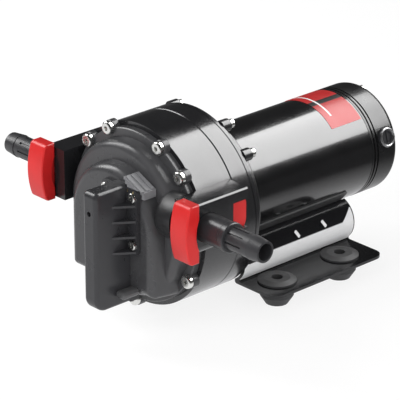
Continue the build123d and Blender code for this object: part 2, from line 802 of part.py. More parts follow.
# Pressure switch: base plate and slab box in one moulding, open to the back
box_front_x = dome_front_x - box_depth
plate_front_x = dome_front_x - switch_plate_thickness
box_plane = Plane(origin=(0, switch_y, axis_height), x_dir=(1, 0, 0), z_dir=(0, -1, 0))
box_height = box_top - box_bottom
box_centre = ((box_front_x + dome_front_x) / 2, (box_top + box_bottom) / 2)
adjuster_seat_x = dome_front_x - adjuster_seat_depth
adjuster_start_x = adjuster_seat_x - adjuster_seat_thickness
adjuster_end_x = adjuster_start_x - adjuster_length
post_places = (
    (dome_front_x - microswitch_front_depth + post_inset_x, microswitch_bottom_z + post_inset_z),
    (dome_front_x - microswitch_rear_depth - post_inset_x, microswitch_top_z - 2 * post_inset_z),
)
with BuildPart() as switch_housing:
    with BuildSketch(box_plane) as box_side:
        with Locations(box_centre):
            Rectangle(box_depth, box_height)
        fillet(box_side.vertices().group_by(Axis.X)[0].sort_by(Axis.Y)[0], radius=box_bottom_round)
        fillet(box_side.vertices().group_by(Axis.X)[0].sort_by(Axis.Y)[-1], radius=box_top_round)
    extrude(amount=box_width / 2, both=True)
    side_faces = switch_housing.faces().filter_by(Axis.Y)
    rear_edges = switch_housing.faces().sort_by(Axis.X)[-1].edges()
    fillet([edge for edge in side_faces.edges() if edge not in rear_edges], radius=box_edge_fillet)
    with BuildSketch(front_plane(dome_front_x)) as base:
        with Locations((-switch_y, switch_plate_centre_z)):
            Rectangle(switch_plate_width, switch_plate_top - switch_plate_bottom)
        fillet(base.vertices(), radius=switch_plate_corner)
    extrude(amount=switch_plate_thickness)
    # Gussets that brace the box on its base plate
    for index in range(gusset_count):
        gusset_z = axis_height + gusset_first_z + index * gusset_pitch
        with BuildSketch(Plane.XY.offset(gusset_z - gusset_thickness / 2)):
            with BuildLine():
                gusset_half_width = switch_plate_width / 2 - gusset_margin
                Polyline((plate_front_x, switch_y - gusset_half_width),
                         (plate_front_x, switch_y + gusset_half_width),
                         (plate_front_x - gusset_depth, switch_y + box_width / 2),
                         (plate_front_x - gusset_depth, switch_y - box_width / 2),
                         close=True)
            make_face()
        extrude(amount=gusset_thickness)
    # Hollow of the box and the heel that reaches under the dome
    with BuildSketch(box_plane):
        with Locations((box_centre[0] + box_wall / 2, box_centre[1])):
            hollow = Rectangle(box_depth - box_wall, box_height - 2 * box_wall)
        hollow_corner = hollow.vertices().group_by(Axis.X)[0].sort_by(Axis.Y)[0]
        fillet(hollow_corner, radius=box_bottom_round - box_wall)
    extrude(amount=box_width / 2 - box_wall, both=True, mode=Mode.SUBTRACT)
    with BuildSketch(box_plane):
        with Locations((dome_front_x + heel_length / 2, (heel_top + box_bottom) / 2)):
            Rectangle(heel_length, heel_top - box_bottom)
    extrude(amount=box_width / 2, both=True)
    # Guide of the plunger, boss of the adjusting screw, posts of the microswitch
    with BuildSketch(front_plane(dome_front_x)):
        with Locations((-switch_y, plunger_z)):
            Circle(guide_boss_radius)
    extrude(amount=guide_length)
    with BuildSketch(front_plane(dome_front_x)):
        with Locations((-switch_y, plunger_z)):
            Circle(plunger_radius + guide_gap)
    extrude(amount=guide_length, mode=Mode.SUBTRACT)
    with BuildSketch(front_plane(adjuster_start_x - face_gap)):
        with Locations((-switch_y, plunger_z)):
            Circle(adjuster_boss_radius)
    extrude(amount=adjuster_start_x - face_gap - box_front_x - box_wall / 2)
    with BuildSketch(front_plane(adjuster_start_x)):
        with Locations((-switch_y, plunger_z)):
            Circle(adjuster_radius + running_gap)
    extrude(amount=adjuster_length + face_gap, mode=Mode.SUBTRACT)
    with BuildSketch(front_plane(adjuster_end_x)):
        with Locations((-switch_y, plunger_z)):
            Circle(access_hole_radius)
    extrude(amount=adjuster_end_x - box_front_x, mode=Mode.SUBTRACT)
    with BuildSketch(box_plane):
        with Locations(*post_places):
            Circle(post_radius)
    extrude(amount=box_width / 2 - box_wall, both=True)
    # Screw holes and the slots that the terminals are moulded into
    with BuildSketch(front_plane(dome_front_x)):
        with Locations((-switch_y, switch_screw_centre_z)):
            with GridLocations(switch_screw_spacing_y, switch_screw_spacing_z, 2, 2):
                Circle(switch_screw_radius)
        with Locations((-terminal_centre_y, terminal_centre_z)):
            with GridLocations(terminal_pitch, 0, terminal_count, 1):
                Rectangle(terminal_thickness, terminal_height)
    extrude(amount=switch_plate_thickness, mode=Mode.SUBTRACT)
switch_housing.part.label = "switch_housing"
export_step(switch_housing.part, "parts/switch_housing.step")

with BuildPart() as switch_screws:
    with BuildSketch(front_plane(plate_front_x)):
        with Locations((-switch_y, switch_screw_centre_z)):
            with GridLocations(switch_screw_spacing_y, switch_screw_spacing_z, 2, 2):
                Circle(switch_screw_head_radius)
    extrude(amount=switch_screw_head_height)
    fillet(switch_screws.edges().group_by(Axis.X)[0], radius=switch_screw_head_fillet)
    with BuildSketch(front_plane(plate_front_x - switch_screw_head_height)):
        with Locations((-switch_y, switch_screw_centre_z)):
            with GridLocations(switch_screw_spacing_y, switch_screw_spacing_z, 2, 2):
                RegularPolygon(switch_socket_radius, socket_sides)
    extrude(amount=-switch_socket_depth, mode=Mode.SUBTRACT)
    with BuildSketch(rear_plane(plate_front_x)):
        with Locations((switch_y, switch_screw_centre_z)):
            with GridLocations(switch_screw_spacing_y, switch_screw_spacing_z, 2, 2):
                Circle(switch_screw_radius)
    extrude(amount=switch_screw_length)
switch_screws.part.label = "switch_screws"
export_step(switch_screws.part, "parts/switch_screws.step")

with BuildPart() as switch_diaphragm:
    with BuildSketch(rear_plane(dome_front_x)):
        with Locations((switch_y, plunger_z)):
            Circle(switch_diaphragm_radius)
    extrude(amount=switch_diaphragm_thickness)
switch_diaphragm.part.label = "switch_diaphragm"
export_step(switch_diaphragm.part, "parts/switch_diaphragm.step")

# Plunger with the arm that works the microswitch
arm_height = plunger_z - plunger_arm_end_z
with BuildPart() as switch_plunger:
    with BuildSketch(front_plane(dome_front_x)):
        with Locations((-switch_y, plunger_z)):
            Circle(plunger_radius)
    extrude(amount=plunger_length)
    with BuildSketch(front_plane(dome_front_x - plunger_length)):
        with Locations((-switch_y, plunger_z - arm_height / 2)):
            Rectangle(plunger_arm_width, arm_height)
    extrude(amount=-plunger_arm_thickness)
switch_plunger.part.label = "switch_plunger"
export_step(switch_plunger.part, "parts/switch_plunger.step")

with BuildPart() as switch_button:
    with BuildSketch(front_plane(dome_front_x - plunger_length - button_gap)):
        with Locations((-switch_y, button_z)):
            Circle(button_radius)
    extrude(amount=button_length)
switch_button.part.label = "switch_button"
export_step(switch_button.part, "parts/switch_button.step")

micro_depth = microswitch_front_depth - microswitch_rear_depth
micro_centre_x = dome_front_x - (microswitch_front_depth + microswitch_rear_depth) / 2
with BuildPart() as microswitch:
    with BuildSketch(box_plane):
        with Locations((micro_centre_x, (microswitch_top_z + microswitch_bottom_z) / 2)):
            Rectangle(micro_depth, microswitch_top_z - microswitch_bottom_z)
        with Locations(*post_places):
            Circle(post_radius + post_gap, mode=Mode.SUBTRACT)
    extrude(amount=microswitch_width / 2, both=True)
    with BuildSketch(front_plane(dome_front_x - microswitch_rear_depth)):
        with Locations((-switch_y, button_z)):
            Circle(button_radius + running_gap)
    extrude(amount=button_bore_depth, mode=Mode.SUBTRACT)
microswitch.part.label = "microswitch"
export_step(microswitch.part, "parts/microswitch.step")

# Spring between the plunger and the adjusting screw, drawn as a plain sleeve
spring_start_x = dome_front_x - plunger_length - plunger_travel - face_gap
spring_end_x = adjuster_seat_x + face_gap
with BuildPart() as switch_spring:
    with BuildSketch(front_plane(spring_start_x)):
        with Locations((-switch_y, plunger_z)):
            Circle(spring_radius)
            Circle(spring_bore_radius, mode=Mode.SUBTRACT)
    extrude(amount=spring_start_x - spring_end_x)
switch_spring.part.label = "switch_spring"
export_step(switch_spring.part, "parts/switch_spring.step")

with BuildPart() as adjusting_screw:
    with BuildSketch(front_plane(adjuster_seat_x)):
        with Locations((-switch_y, plunger_z)):
            Circle(adjuster_seat_radius)
    extrude(amount=adjuster_seat_thickness)
    with BuildSketch(front_plane(adjuster_start_x)):
        with Locations((-switch_y, plunger_z)):
            Circle(adjuster_radius)
    extrude(amount=adjuster_length)
    with BuildSketch(front_plane(adjuster_end_x)):
        with Locations((-switch_y, plunger_z)):
            Rectangle(2 * adjuster_radius, adjuster_slot_width)
    extrude(amount=-adjuster_slot_depth, mode=Mode.SUBTRACT)
adjusting_screw.part.label = "adjusting_screw"
export_step(adjusting_screw.part, "parts/adjusting_screw.step")

# Terminals and the ribbed rubber boot that covers them
with BuildPart() as switch_terminals:
    with BuildSketch(rear_plane(plate_front_x)):
        with Locations((terminal_centre_y, terminal_centre_z)):
            with GridLocations(terminal_pitch, 0, terminal_count, 1):
                Rectangle(terminal_thickness, terminal_height)
    extrude(amount=switch_plate_thickness + terminal_length)
switch_terminals.part.label = "switch_terminals"
export_step(switch_terminals.part, "parts/switch_terminals.step")

boot_front_x = flange_front_x + boot_front_offset_x
boot_inner_y = seat_inner_y - boot_gap
boot_skirt_y = seat_outer_y - boot_gap
slope = (boot_low_y - boot_top_y, boot_low_z - boot_top_z)
slope_length = sqrt(slope[0] ** 2 + slope[1] ** 2)
slope_centre = ((boot_top_y + boot_low_y) / 2, (boot_top_z + boot_low_z) / 2)
boot_lip_width = dome_front_x - boot_front_x
with BuildPart() as terminal_boot:
    with BuildSketch(rear_plane(boot_front_x)):
        with BuildLine():
            Polyline((boot_inner_y, seat_z), (boot_inner_y, boot_lip_z), (boot_top_y, boot_lip_z),
                     (boot_top_y, boot_top_z), (boot_low_y, boot_low_z),
                     (boot_low_y, boot_low_z - boot_low_drop), (boot_skirt_y, boot_low_z - boot_low_drop),
                     (boot_skirt_y, seat_z), close=True)
        make_face()
    extrude(amount=boot_length)
    # Room for the base plate and the top of the box under the front lip
    with BuildSketch(rear_plane(boot_front_x)):
        with Locations((switch_y, switch_plate_top + boot_gap)):
            Rectangle(2 * switch_plate_width, switch_plate_width, align=(Align.CENTER, Align.MAX))
        with Locations((switch_y, box_top + boot_gap)):
            Rectangle(box_width + 2 * boot_gap, box_height, align=(Align.CENTER, Align.MAX))
    extrude(amount=boot_lip_width + face_gap, mode=Mode.SUBTRACT)
    with BuildSketch(rear_plane(dome_front_x)):
        with Locations((terminal_centre_y, terminal_centre_z)):
            with GridLocations(terminal_pitch, 0, terminal_count, 1):
                Rectangle(terminal_thickness + boot_gap, terminal_height + boot_gap)
    extrude(amount=terminal_length + boot_gap, mode=Mode.SUBTRACT)
    boot_centre_x = boot_front_x + boot_length / 2
    rib_plane = Plane(origin=(boot_centre_x, slope_centre[0], axis_height + slope_centre[1]),
                      x_dir=(1, 0, 0), z_dir=(0, slope[1], -slope[0]))
    with BuildSketch(rib_plane):
        with GridLocations(boot_length / boot_rib_count, 0, boot_rib_count, 1):
            Rectangle(boot_rib_width, slope_length - 2 * boot_rib_height)
    extrude(amount=boot_rib_height)
terminal_boot.part.label = "terminal_boot"
export_step(terminal_boot.part, "parts/terminal_boot.step")

# Valves: an umbrella over each inlet group and one over all the outlet holes
with BuildPart() as inlet_valves:
    with BuildSketch(rear_plane(deck_rear_x)):
        with PolarLocations(inlet_valve_pitch_radius, pocket_count, start_angle=pocket_start_angle):
            Circle(inlet_valve_radius)
    extrude(amount=inlet_valve_thickness)
    with BuildSketch(rear_plane(deck_front_x)):
        with PolarLocations(inlet_valve_pitch_radius, pocket_count, start_angle=pocket_start_angle):
            Circle(inlet_stem_radius)
    extrude(amount=deck_thickness)
    with BuildSketch(front_plane(deck_front_x)):
        with PolarLocations(inlet_valve_pitch_radius, pocket_count, start_angle=pocket_start_angle):
            Circle(inlet_stem_radius + stem_bulb_extra)
    extrude(amount=stem_bulb_length)
inlet_valves.part.label = "inlet_valves"
export_step(inlet_valves.part, "parts/inlet_valves.step")

with BuildPart() as outlet_valve:
    with BuildSketch(front_plane(deck_front_x)):
        Circle(outlet_valve_radius)
    extrude(amount=outlet_valve_thickness)
    with BuildSketch(rear_plane(deck_front_x)):
        Circle(outlet_stem_radius)
    extrude(amount=deck_thickness)
    with BuildSketch(rear_plane(deck_rear_x)):
        Circle(outlet_stem_radius + stem_bulb_extra)
    extrude(amount=stem_bulb_length)
outlet_valve.part.label = "outlet_valve"
export_step(outlet_valve.part, "parts/outlet_valve.step")

# Diaphragm: the clamped sheet, and the centres that move with the pistons
with BuildPart() as diaphragm:
    with BuildSketch(rear_plane(diaphragm_front_x)):
        Circle(diaphragm_radius)
        with PolarLocations(pocket_pitch_radius, pocket_count, start_angle=pocket_start_angle):
            Circle(diaphragm_hole_radius, mode=Mode.SUBTRACT)
    extrude(amount=diaphragm_thickness)
diaphragm.part.label = "diaphragm"
export_step(diaphragm.part, "parts/diaphragm.step")

centre_rear = -wobble_setback
centre_front = centre_rear - diaphragm_thickness
piston_front = centre_front - piston_thickness
backing_rear = centre_rear + backing_thickness
with BuildPart() as diaphragm_centres:
    with BuildSketch(wobble_plane.offset(centre_front)):
        with PolarLocations(pocket_pitch_radius, pocket_count, start_angle=pocket_start_angle):
            Circle(diaphragm_centre_radius)
            Circle(piston_screw_radius, mode=Mode.SUBTRACT)
    extrude(amount=diaphragm_thickness)
diaphragm_centres.part.label = "diaphragm_centres"
export_step(diaphragm_centres.part, "parts/diaphragm_centres.step")

with BuildPart() as pistons:
    with BuildSketch(wobble_plane.offset(piston_front)):
        with PolarLocations(pocket_pitch_radius, pocket_count, start_angle=pocket_start_angle):
            Circle(piston_radius)
            Circle(piston_screw_radius, mode=Mode.SUBTRACT)
    extrude(amount=piston_thickness)
pistons.part.label = "pistons"
export_step(pistons.part, "parts/pistons.step")

with BuildPart() as backing_plates:
    with BuildSketch(wobble_plane.offset(centre_rear)):
        with PolarLocations(pocket_pitch_radius, pocket_count, start_angle=pocket_start_angle):
            Circle(piston_radius)
            Circle(piston_screw_radius, mode=Mode.SUBTRACT)
    extrude(amount=backing_thickness)
backing_plates.part.label = "backing_plates"
export_step(backing_plates.part, "parts/backing_plates.step")

# Wobble plate: ring, five arms and the bosses that carry the pistons
arm_reach = pocket_pitch_radius - wobble_bearing_radius
with BuildPart() as wobble_plate:
    with BuildSketch(wobble_plane.offset(-wobble_bearing_width / 2)):
        Circle(wobble_ring_radius)
    extrude(amount=wobble_bearing_width)
    with BuildSketch(wobble_plane.offset(-wobble_arm_thickness / 2)):
        with PolarLocations(pocket_pitch_radius, pocket_count, start_angle=pocket_start_angle):
            Circle(wobble_lug_radius)
        with PolarLocations(pocket_pitch_radius - arm_reach / 2, pocket_count, start_angle=pocket_start_angle):
            Rectangle(arm_reach, wobble_arm_width)
    extrude(amount=wobble_arm_thickness)
    with BuildSketch(wobble_plane.offset(backing_rear)):
        with PolarLocations(pocket_pitch_radius, pocket_count, start_angle=pocket_start_angle):
            Circle(wobble_boss_radius)
    extrude(amount=-backing_rear)
    with BuildSketch(wobble_plane.offset(-wobble_bearing_width / 2)):
        Circle(wobble_bearing_radius)
    extrude(amount=wobble_bearing_width, mode=Mode.SUBTRACT)
    with BuildSketch(wobble_plane.offset(backing_rear)):
        with PolarLocations(pocket_pitch_radius, pocket_count, start_angle=pocket_start_angle):
            Circle(piston_screw_radius)
    extrude(amount=-backing_rear, mode=Mode.SUBTRACT)
wobble_plate.part.label = "wobble_plate"
export_step(wobble_plate.part, "parts/wobble_plate.step")

with BuildPart() as piston_screws:
    with BuildSketch(wobble_plane.offset(piston_front - piston_screw_head_height)):
        with PolarLocations(pocket_pitch_radius, pocket_count, start_angle=pocket_start_angle):
            Circle(piston_screw_head_radius)
    extrude(amount=piston_screw_head_height)
    with BuildSketch(wobble_plane.offset(piston_front)):
        with PolarLocations(pocket_pitch_radius, pocket_count, start_angle=pocket_start_angle):
            Circle(piston_screw_radius)
    extrude(amount=-piston_front)
piston_screws.part.label = "piston_screws"
export_step(piston_screws.part, "parts/piston_screws.step")

with BuildPart() as wobble_bearing:
    with BuildSketch(wobble_plane.offset(-wobble_bearing_width / 2)):
        Circle(wobble_bearing_radius)
        Circle(slant_hub_radius + running_gap, mode=Mode.SUBTRACT)
    extrude(amount=wobble_bearing_width)
wobble_bearing.part.label = "wobble_bearing"
export_step(wobble_bearing.part, "parts/wobble_bearing.step")

# Slanted hub: its slope turns the motor's turning into the strokes of the pistons
hub_flange_start = wobble_bearing_width / 2 + face_gap
with BuildPart() as slanted_hub:
    with BuildSketch(wobble_plane.offset(-slant_hub_length / 2)):
        Circle(slant_hub_radius)
    extrude(amount=slant_hub_length)
    with BuildSketch(wobble_plane.offset(hub_flange_start)):
        Circle(hub_flange_radius)
    extrude(amount=hub_flange_thickness)
    with BuildSketch(rear_plane(wobble_x)):
        Circle(shaft_radius)
    extrude(amount=slant_hub_length, both=True, mode=Mode.SUBTRACT)
slanted_hub.part.label = "slanted_hub"
export_step(slanted_hub.part, "parts/slanted_hub.step")

with BuildPart() as hub_ring:
    with BuildSketch(wobble_plane.offset(-hub_flange_start)):
        Circle(hub_flange_radius)
        Circle(slant_hub_radius, mode=Mode.SUBTRACT)
    extrude(amount=-hub_ring_thickness)
hub_ring.part.label = "hub_ring"
export_step(hub_ring.part, "parts/hub_ring.step")

# Motor front plate, bearings and shaft
front_bearing_x = plate_rear_x - front_bearing_width
rear_bearing_x = motor_end_x - bell_wall - rear_bearing_width
with BuildPart() as motor_front_plate:
    with BuildSketch(rear_plane(drive_rear_x)):
        Circle(front_plate_radius)
        with Locations(*screw_places):
            Circle(plate_lobe_radius)
    extrude(amount=front_plate_length)
    fillet(motor_front_plate.faces().sort_by(Axis.X)[-1].edges(), radius=front_plate_fillet)
    with BuildSketch(rear_plane(drive_rear_x)):
        Circle(shaft_clearance_radius)
        with Locations(*screw_places):
            Circle(screw_hole_radius)
        with Locations(*plate_screw_places):
            Circle(screw_hole_radius)
    extrude(amount=front_plate_length, mode=Mode.SUBTRACT)
    with BuildSketch(rear_plane(plate_rear_x)):
        Circle(front_bearing_radius)
    extrude(amount=-front_bearing_width, mode=Mode.SUBTRACT)
    with BuildSketch(rear_plane(plate_rear_x)):
        with Locations(*[on_circle(bolt_circle_radius, angle) for angle in bolt_angles]):
            Circle(bolt_radius)
    extrude(amount=-bolt_engagement, mode=Mode.SUBTRACT)
motor_front_plate.part.label = "motor_front_plate"
export_step(motor_front_plate.part, "parts/motor_front_plate.step")

with BuildPart() as plate_screws:
    with BuildSketch(rear_plane(plate_rear_x)):
        with Locations(*plate_screw_places):
            Circle(plate_screw_head_radius)
    extrude(amount=plate_screw_head_height)
    with BuildSketch(rear_plane(plate_rear_x)):
        with Locations(*plate_screw_places):
            Circle(plate_screw_radius)
    extrude(amount=-front_plate_length - plate_screw_engagement)
plate_screws.part.label = "plate_screws"
export_step(plate_screws.part, "parts/plate_screws.step")

with BuildPart() as front_bearing:
    with BuildSketch(rear_plane(front_bearing_x)):
        Circle(front_bearing_radius)
        Circle(shaft_radius + running_gap, mode=Mode.SUBTRACT)
    extrude(amount=front_bearing_width)
front_bearing.part.label = "front_bearing"
export_step(front_bearing.part, "parts/front_bearing.step")

with BuildPart() as rear_bearing:
    with BuildSketch(rear_plane(rear_bearing_x)):
        Circle(rear_bearing_radius)
        Circle(shaft_radius + running_gap, mode=Mode.SUBTRACT)
    extrude(amount=rear_bearing_width)
rear_bearing.part.label = "rear_bearing"
export_step(rear_bearing.part, "parts/rear_bearing.step")

shaft_front_x = wobble_x - slant_hub_length / 2
with BuildPart() as motor_shaft:
    with BuildSketch(rear_plane(shaft_front_x)):
        Circle(shaft_radius)
    extrude(amount=motor_end_x - bell_wall - face_gap - shaft_front_x)
motor_shaft.part.label = "motor_shaft"
export_step(motor_shaft.part, "parts/motor_shaft.step")

# Armature: slotted core, windings and commutator on the shaft
armature_x = plate_rear_x + armature_setback
slot_reach = armature_radius - slot_lip
slot_middle = (slot_inner_radius + slot_reach) / 2
with BuildPart() as armature_core:
    with BuildSketch(rear_plane(armature_x)):
        Circle(armature_radius)
        Circle(shaft_radius, mode=Mode.SUBTRACT)
        with PolarLocations(slot_middle, armature_slots):
            Rectangle(slot_reach - slot_inner_radius, slot_width, mode=Mode.SUBTRACT)
        with PolarLocations(armature_radius, armature_slots):
            Rectangle(2 * slot_lip + overrun, slot_mouth_width, mode=Mode.SUBTRACT)
    extrude(amount=armature_length)
armature_core.part.label = "armature_core"
export_step(armature_core.part, "parts/armature_core.step")

with BuildPart() as armature_windings:
    for start_x in (armature_x - winding_length, armature_x + armature_length):
        with BuildSketch(rear_plane(start_x)):
            Circle(winding_outer_radius)
            Circle(winding_inner_radius, mode=Mode.SUBTRACT)
        extrude(amount=winding_length)
    with BuildSketch(rear_plane(armature_x)):
        with PolarLocations(slot_middle, armature_slots):
            Rectangle(winding_outer_radius - slot_inner_radius - face_gap, slot_width)
    extrude(amount=armature_length)
armature_windings.part.label = "armature_windings"
export_step(armature_windings.part, "parts/armature_windings.step")

with BuildPart() as commutator:
    with BuildSketch(rear_plane(can_rear_x - commutator_setback)):
        Circle(commutator_radius)
        Circle(shaft_radius, mode=Mode.SUBTRACT)
        with PolarLocations(commutator_radius, commutator_bars):
            Rectangle(2 * commutator_slit_depth, commutator_slit, mode=Mode.SUBTRACT)
    extrude(amount=commutator_length)
commutator.part.label = "commutator"
export_step(commutator.part, "parts/commutator.step")

# Motor can, magnets, label and end bell
with BuildPart() as motor_can:
    with BuildSketch(rear_plane(plate_rear_x)):
        Circle(can_radius)
        Circle(can_radius - can_wall, mode=Mode.SUBTRACT)
    extrude(amount=can_length)
motor_can.part.label = "motor_can"
export_step(motor_can.part, "parts/motor_can.step")

with BuildPart() as magnets:
    with BuildSketch(rear_plane(plate_rear_x + magnet_setback)):
        for centre_angle in (0, 180):
            add(ring_sector(magnet_inner_radius, can_radius - can_wall,
                            centre_angle - magnet_arc_angle / 2, magnet_arc_angle))
    extrude(amount=magnet_length)
magnets.part.label = "magnets"
export_step(magnets.part, "parts/magnets.step")

label_radius = can_radius + running_gap
with BuildPart() as motor_label:
    with BuildSketch(front_plane(can_rear_x - label_end_gap)):
        add(ring_sector(label_radius, label_radius + label_thickness, label_start_angle, label_arc_angle))
    extrude(amount=label_length)
motor_label.part.label = "motor_label"
export_step(motor_label.part, "parts/motor_label.step")

brush_x = can_rear_x + brush_offset
brush_slope = radians(brush_angle)
brush_planes = [
    Plane(origin=(brush_x, 0, axis_height), x_dir=(1, 0, 0),
          z_dir=(0, -side * cos(brush_slope), side * sin(brush_slope)))
    for side in (1, -1)
]
cap_seat_radius = sqrt(bell_radius ** 2 - brush_cap_radius ** 2) - face_gap
cap_plug_start = bell_radius - bell_wall - brush_cap_plug_depth
brush_length = cap_plug_start - brush_spring_length - 2 * face_gap - commutator_radius
grommet_place = (0, -grommet_drop)
groove_xs = (can_rear_x + bell_band_width, can_rear_x + 2 * bell_band_width + bell_groove_width)
with BuildPart() as end_bell:
    with BuildSketch(rear_plane(can_rear_x)):
        Circle(bell_radius)
    extrude(amount=bell_length)
    fillet(end_bell.faces().sort_by(Axis.X)[-1].edges(), radius=bell_fillet)
    for groove_start_x in groove_xs:
        with BuildSketch(rear_plane(groove_start_x)):
            Circle(bell_radius)
            Circle(bell_radius - bell_groove_depth, mode=Mode.SUBTRACT)
        extrude(amount=bell_groove_width, mode=Mode.SUBTRACT)
    with BuildSketch(rear_plane(can_rear_x)):
        Circle(bell_radius - bell_wall)
    extrude(amount=bell_length - bell_wall, mode=Mode.SUBTRACT)
    with BuildSketch(rear_plane(rear_bearing_x)):
        Circle(rear_bearing_radius + bearing_wall)
        Circle(rear_bearing_radius, mode=Mode.SUBTRACT)
    extrude(amount=rear_bearing_width)
    for brush_plane in brush_planes:
        with BuildSketch(brush_plane.offset(cap_seat_radius)):
            Circle(brush_cap_radius + face_gap)
        extrude(amount=bell_wall, mode=Mode.SUBTRACT)
        with BuildSketch(brush_plane.offset(cap_plug_start)):
            Circle(brush_cap_plug_radius)
        extrude(amount=bell_radius - cap_plug_start, mode=Mode.SUBTRACT)
    with BuildSketch(rear_plane(motor_end_x)):
        with Locations(*[on_circle(bolt_circle_radius, angle) for angle in bolt_angles]):
            Circle(bolt_radius)
        with Locations(grommet_place):
            Circle(grommet_radius - grommet_lip)
    extrude(amount=-bell_wall, mode=Mode.SUBTRACT)
end_bell.part.label = "end_bell"
export_step(end_bell.part, "parts/end_bell.step")

with BuildPart() as through_bolts:
    with BuildSketch(rear_plane(motor_end_x)):
        with Locations(*[on_circle(bolt_circle_radius, angle) for angle in bolt_angles]):
            Circle(bolt_head_radius)
    extrude(amount=bolt_head_height)
    with BuildSketch(rear_plane(motor_end_x)):
        with Locations(*[on_circle(bolt_circle_radius, angle) for angle in bolt_angles]):
            Circle(bolt_radius)
    extrude(amount=plate_rear_x - bolt_engagement - motor_end_x)
through_bolts.part.label = "through_bolts"
export_step(through_bolts.part, "parts/through_bolts.step")

# Brush gear: card, holders, brushes, springs drawn as sleeves, and the screw caps seen from outside
holder_length = brush_width + 2 * brush_fit_gap + 2 * brush_holder_wall
holder_width = brush_thickness + 2 * brush_fit_gap + 2 * brush_holder_wall
card_x = brush_x - holder_length / 2 - brush_card_thickness
brush_contact_radius = commutator_radius + running_gap
with BuildPart() as brush_card:
    with BuildSketch(rear_plane(card_x)):
        Circle(brush_card_radius)
        Circle(brush_card_bore, mode=Mode.SUBTRACT)
        with Locations(*[on_circle(bolt_circle_radius, angle) for angle in bolt_angles]):
            Circle(screw_hole_radius, mode=Mode.SUBTRACT)
    extrude(amount=brush_card_thickness)
brush_card.part.label = "brush_card"
export_step(brush_card.part, "parts/brush_card.step")

with BuildPart() as brush_holders:
    for brush_plane in brush_planes:
        with BuildSketch(brush_plane.offset(brush_holder_start)):
            Rectangle(holder_length, holder_width)
            Rectangle(brush_width + 2 * brush_fit_gap, brush_thickness + 2 * brush_fit_gap, mode=Mode.SUBTRACT)
        extrude(amount=cap_plug_start - brush_holder_start)
brush_holders.part.label = "brush_holders"
export_step(brush_holders.part, "parts/brush_holders.step")

with BuildPart() as brushes:
    for brush_plane in brush_planes:
        with BuildSketch(brush_plane.offset(commutator_radius / 2)):
            Rectangle(brush_width, brush_thickness)
        extrude(amount=commutator_radius / 2 + brush_length)
    with BuildSketch(rear_plane(can_rear_x)):
        Circle(brush_contact_radius)
    extrude(amount=bell_length, mode=Mode.SUBTRACT)
brushes.part.label = "brushes"
export_step(brushes.part, "parts/brushes.step")

brush_spring_start = commutator_radius + brush_length + face_gap
with BuildPart() as brush_springs:
    for brush_plane in brush_planes:
        with BuildSketch(brush_plane.offset(brush_spring_start)):
            Circle(brush_spring_radius)
            Circle(brush_spring_bore_radius, mode=Mode.SUBTRACT)
        extrude(amount=brush_spring_length)
brush_springs.part.label = "brush_springs"
export_step(brush_springs.part, "parts/brush_springs.step")

with BuildPart() as brush_caps:
    for brush_plane in brush_planes:
        with BuildSketch(brush_plane.offset(cap_plug_start)):
            Circle(brush_cap_plug_radius)
        extrude(amount=cap_seat_radius - cap_plug_start)
        with BuildSketch(brush_plane.offset(cap_seat_radius)):
            Circle(brush_cap_radius)
        extrude(amount=bell_radius + brush_cap_proud - cap_seat_radius)
        with BuildSketch(brush_plane.offset(bell_radius + brush_cap_proud)):
            Circle(brush_cap_recess_radius)
        extrude(amount=-brush_cap_recess_depth, mode=Mode.SUBTRACT)
        with BuildSketch(brush_plane.offset(bell_radius + brush_cap_proud - brush_cap_recess_depth)):
            Rectangle(brush_cap_slot_width, 2 * brush_cap_recess_radius)
        extrude(amount=-brush_cap_slot_depth, mode=Mode.SUBTRACT)
brush_caps.part.label = "brush_caps"
export_step(brush_caps.part, "parts/brush_caps.step")

with BuildPart() as lead_grommet:
    with BuildSketch(rear_plane(motor_end_x)):
        with Locations(grommet_place):
            Circle(grommet_radius)
    extrude(amount=grommet_lip_thickness)
    with BuildSketch(rear_plane(motor_end_x)):
        with Locations(grommet_place):
            Circle(grommet_radius - grommet_lip)
    extrude(amount=-bell_wall)
    with BuildSketch(rear_plane(motor_end_x - bell_wall)):
        with Locations(grommet_place):
            Circle(grommet_bore_radius)
    extrude(amount=bell_wall + grommet_lip_thickness, mode=Mode.SUBTRACT)
lead_grommet.part.label = "lead_grommet"
export_step(lead_grommet.part, "parts/lead_grommet.step")

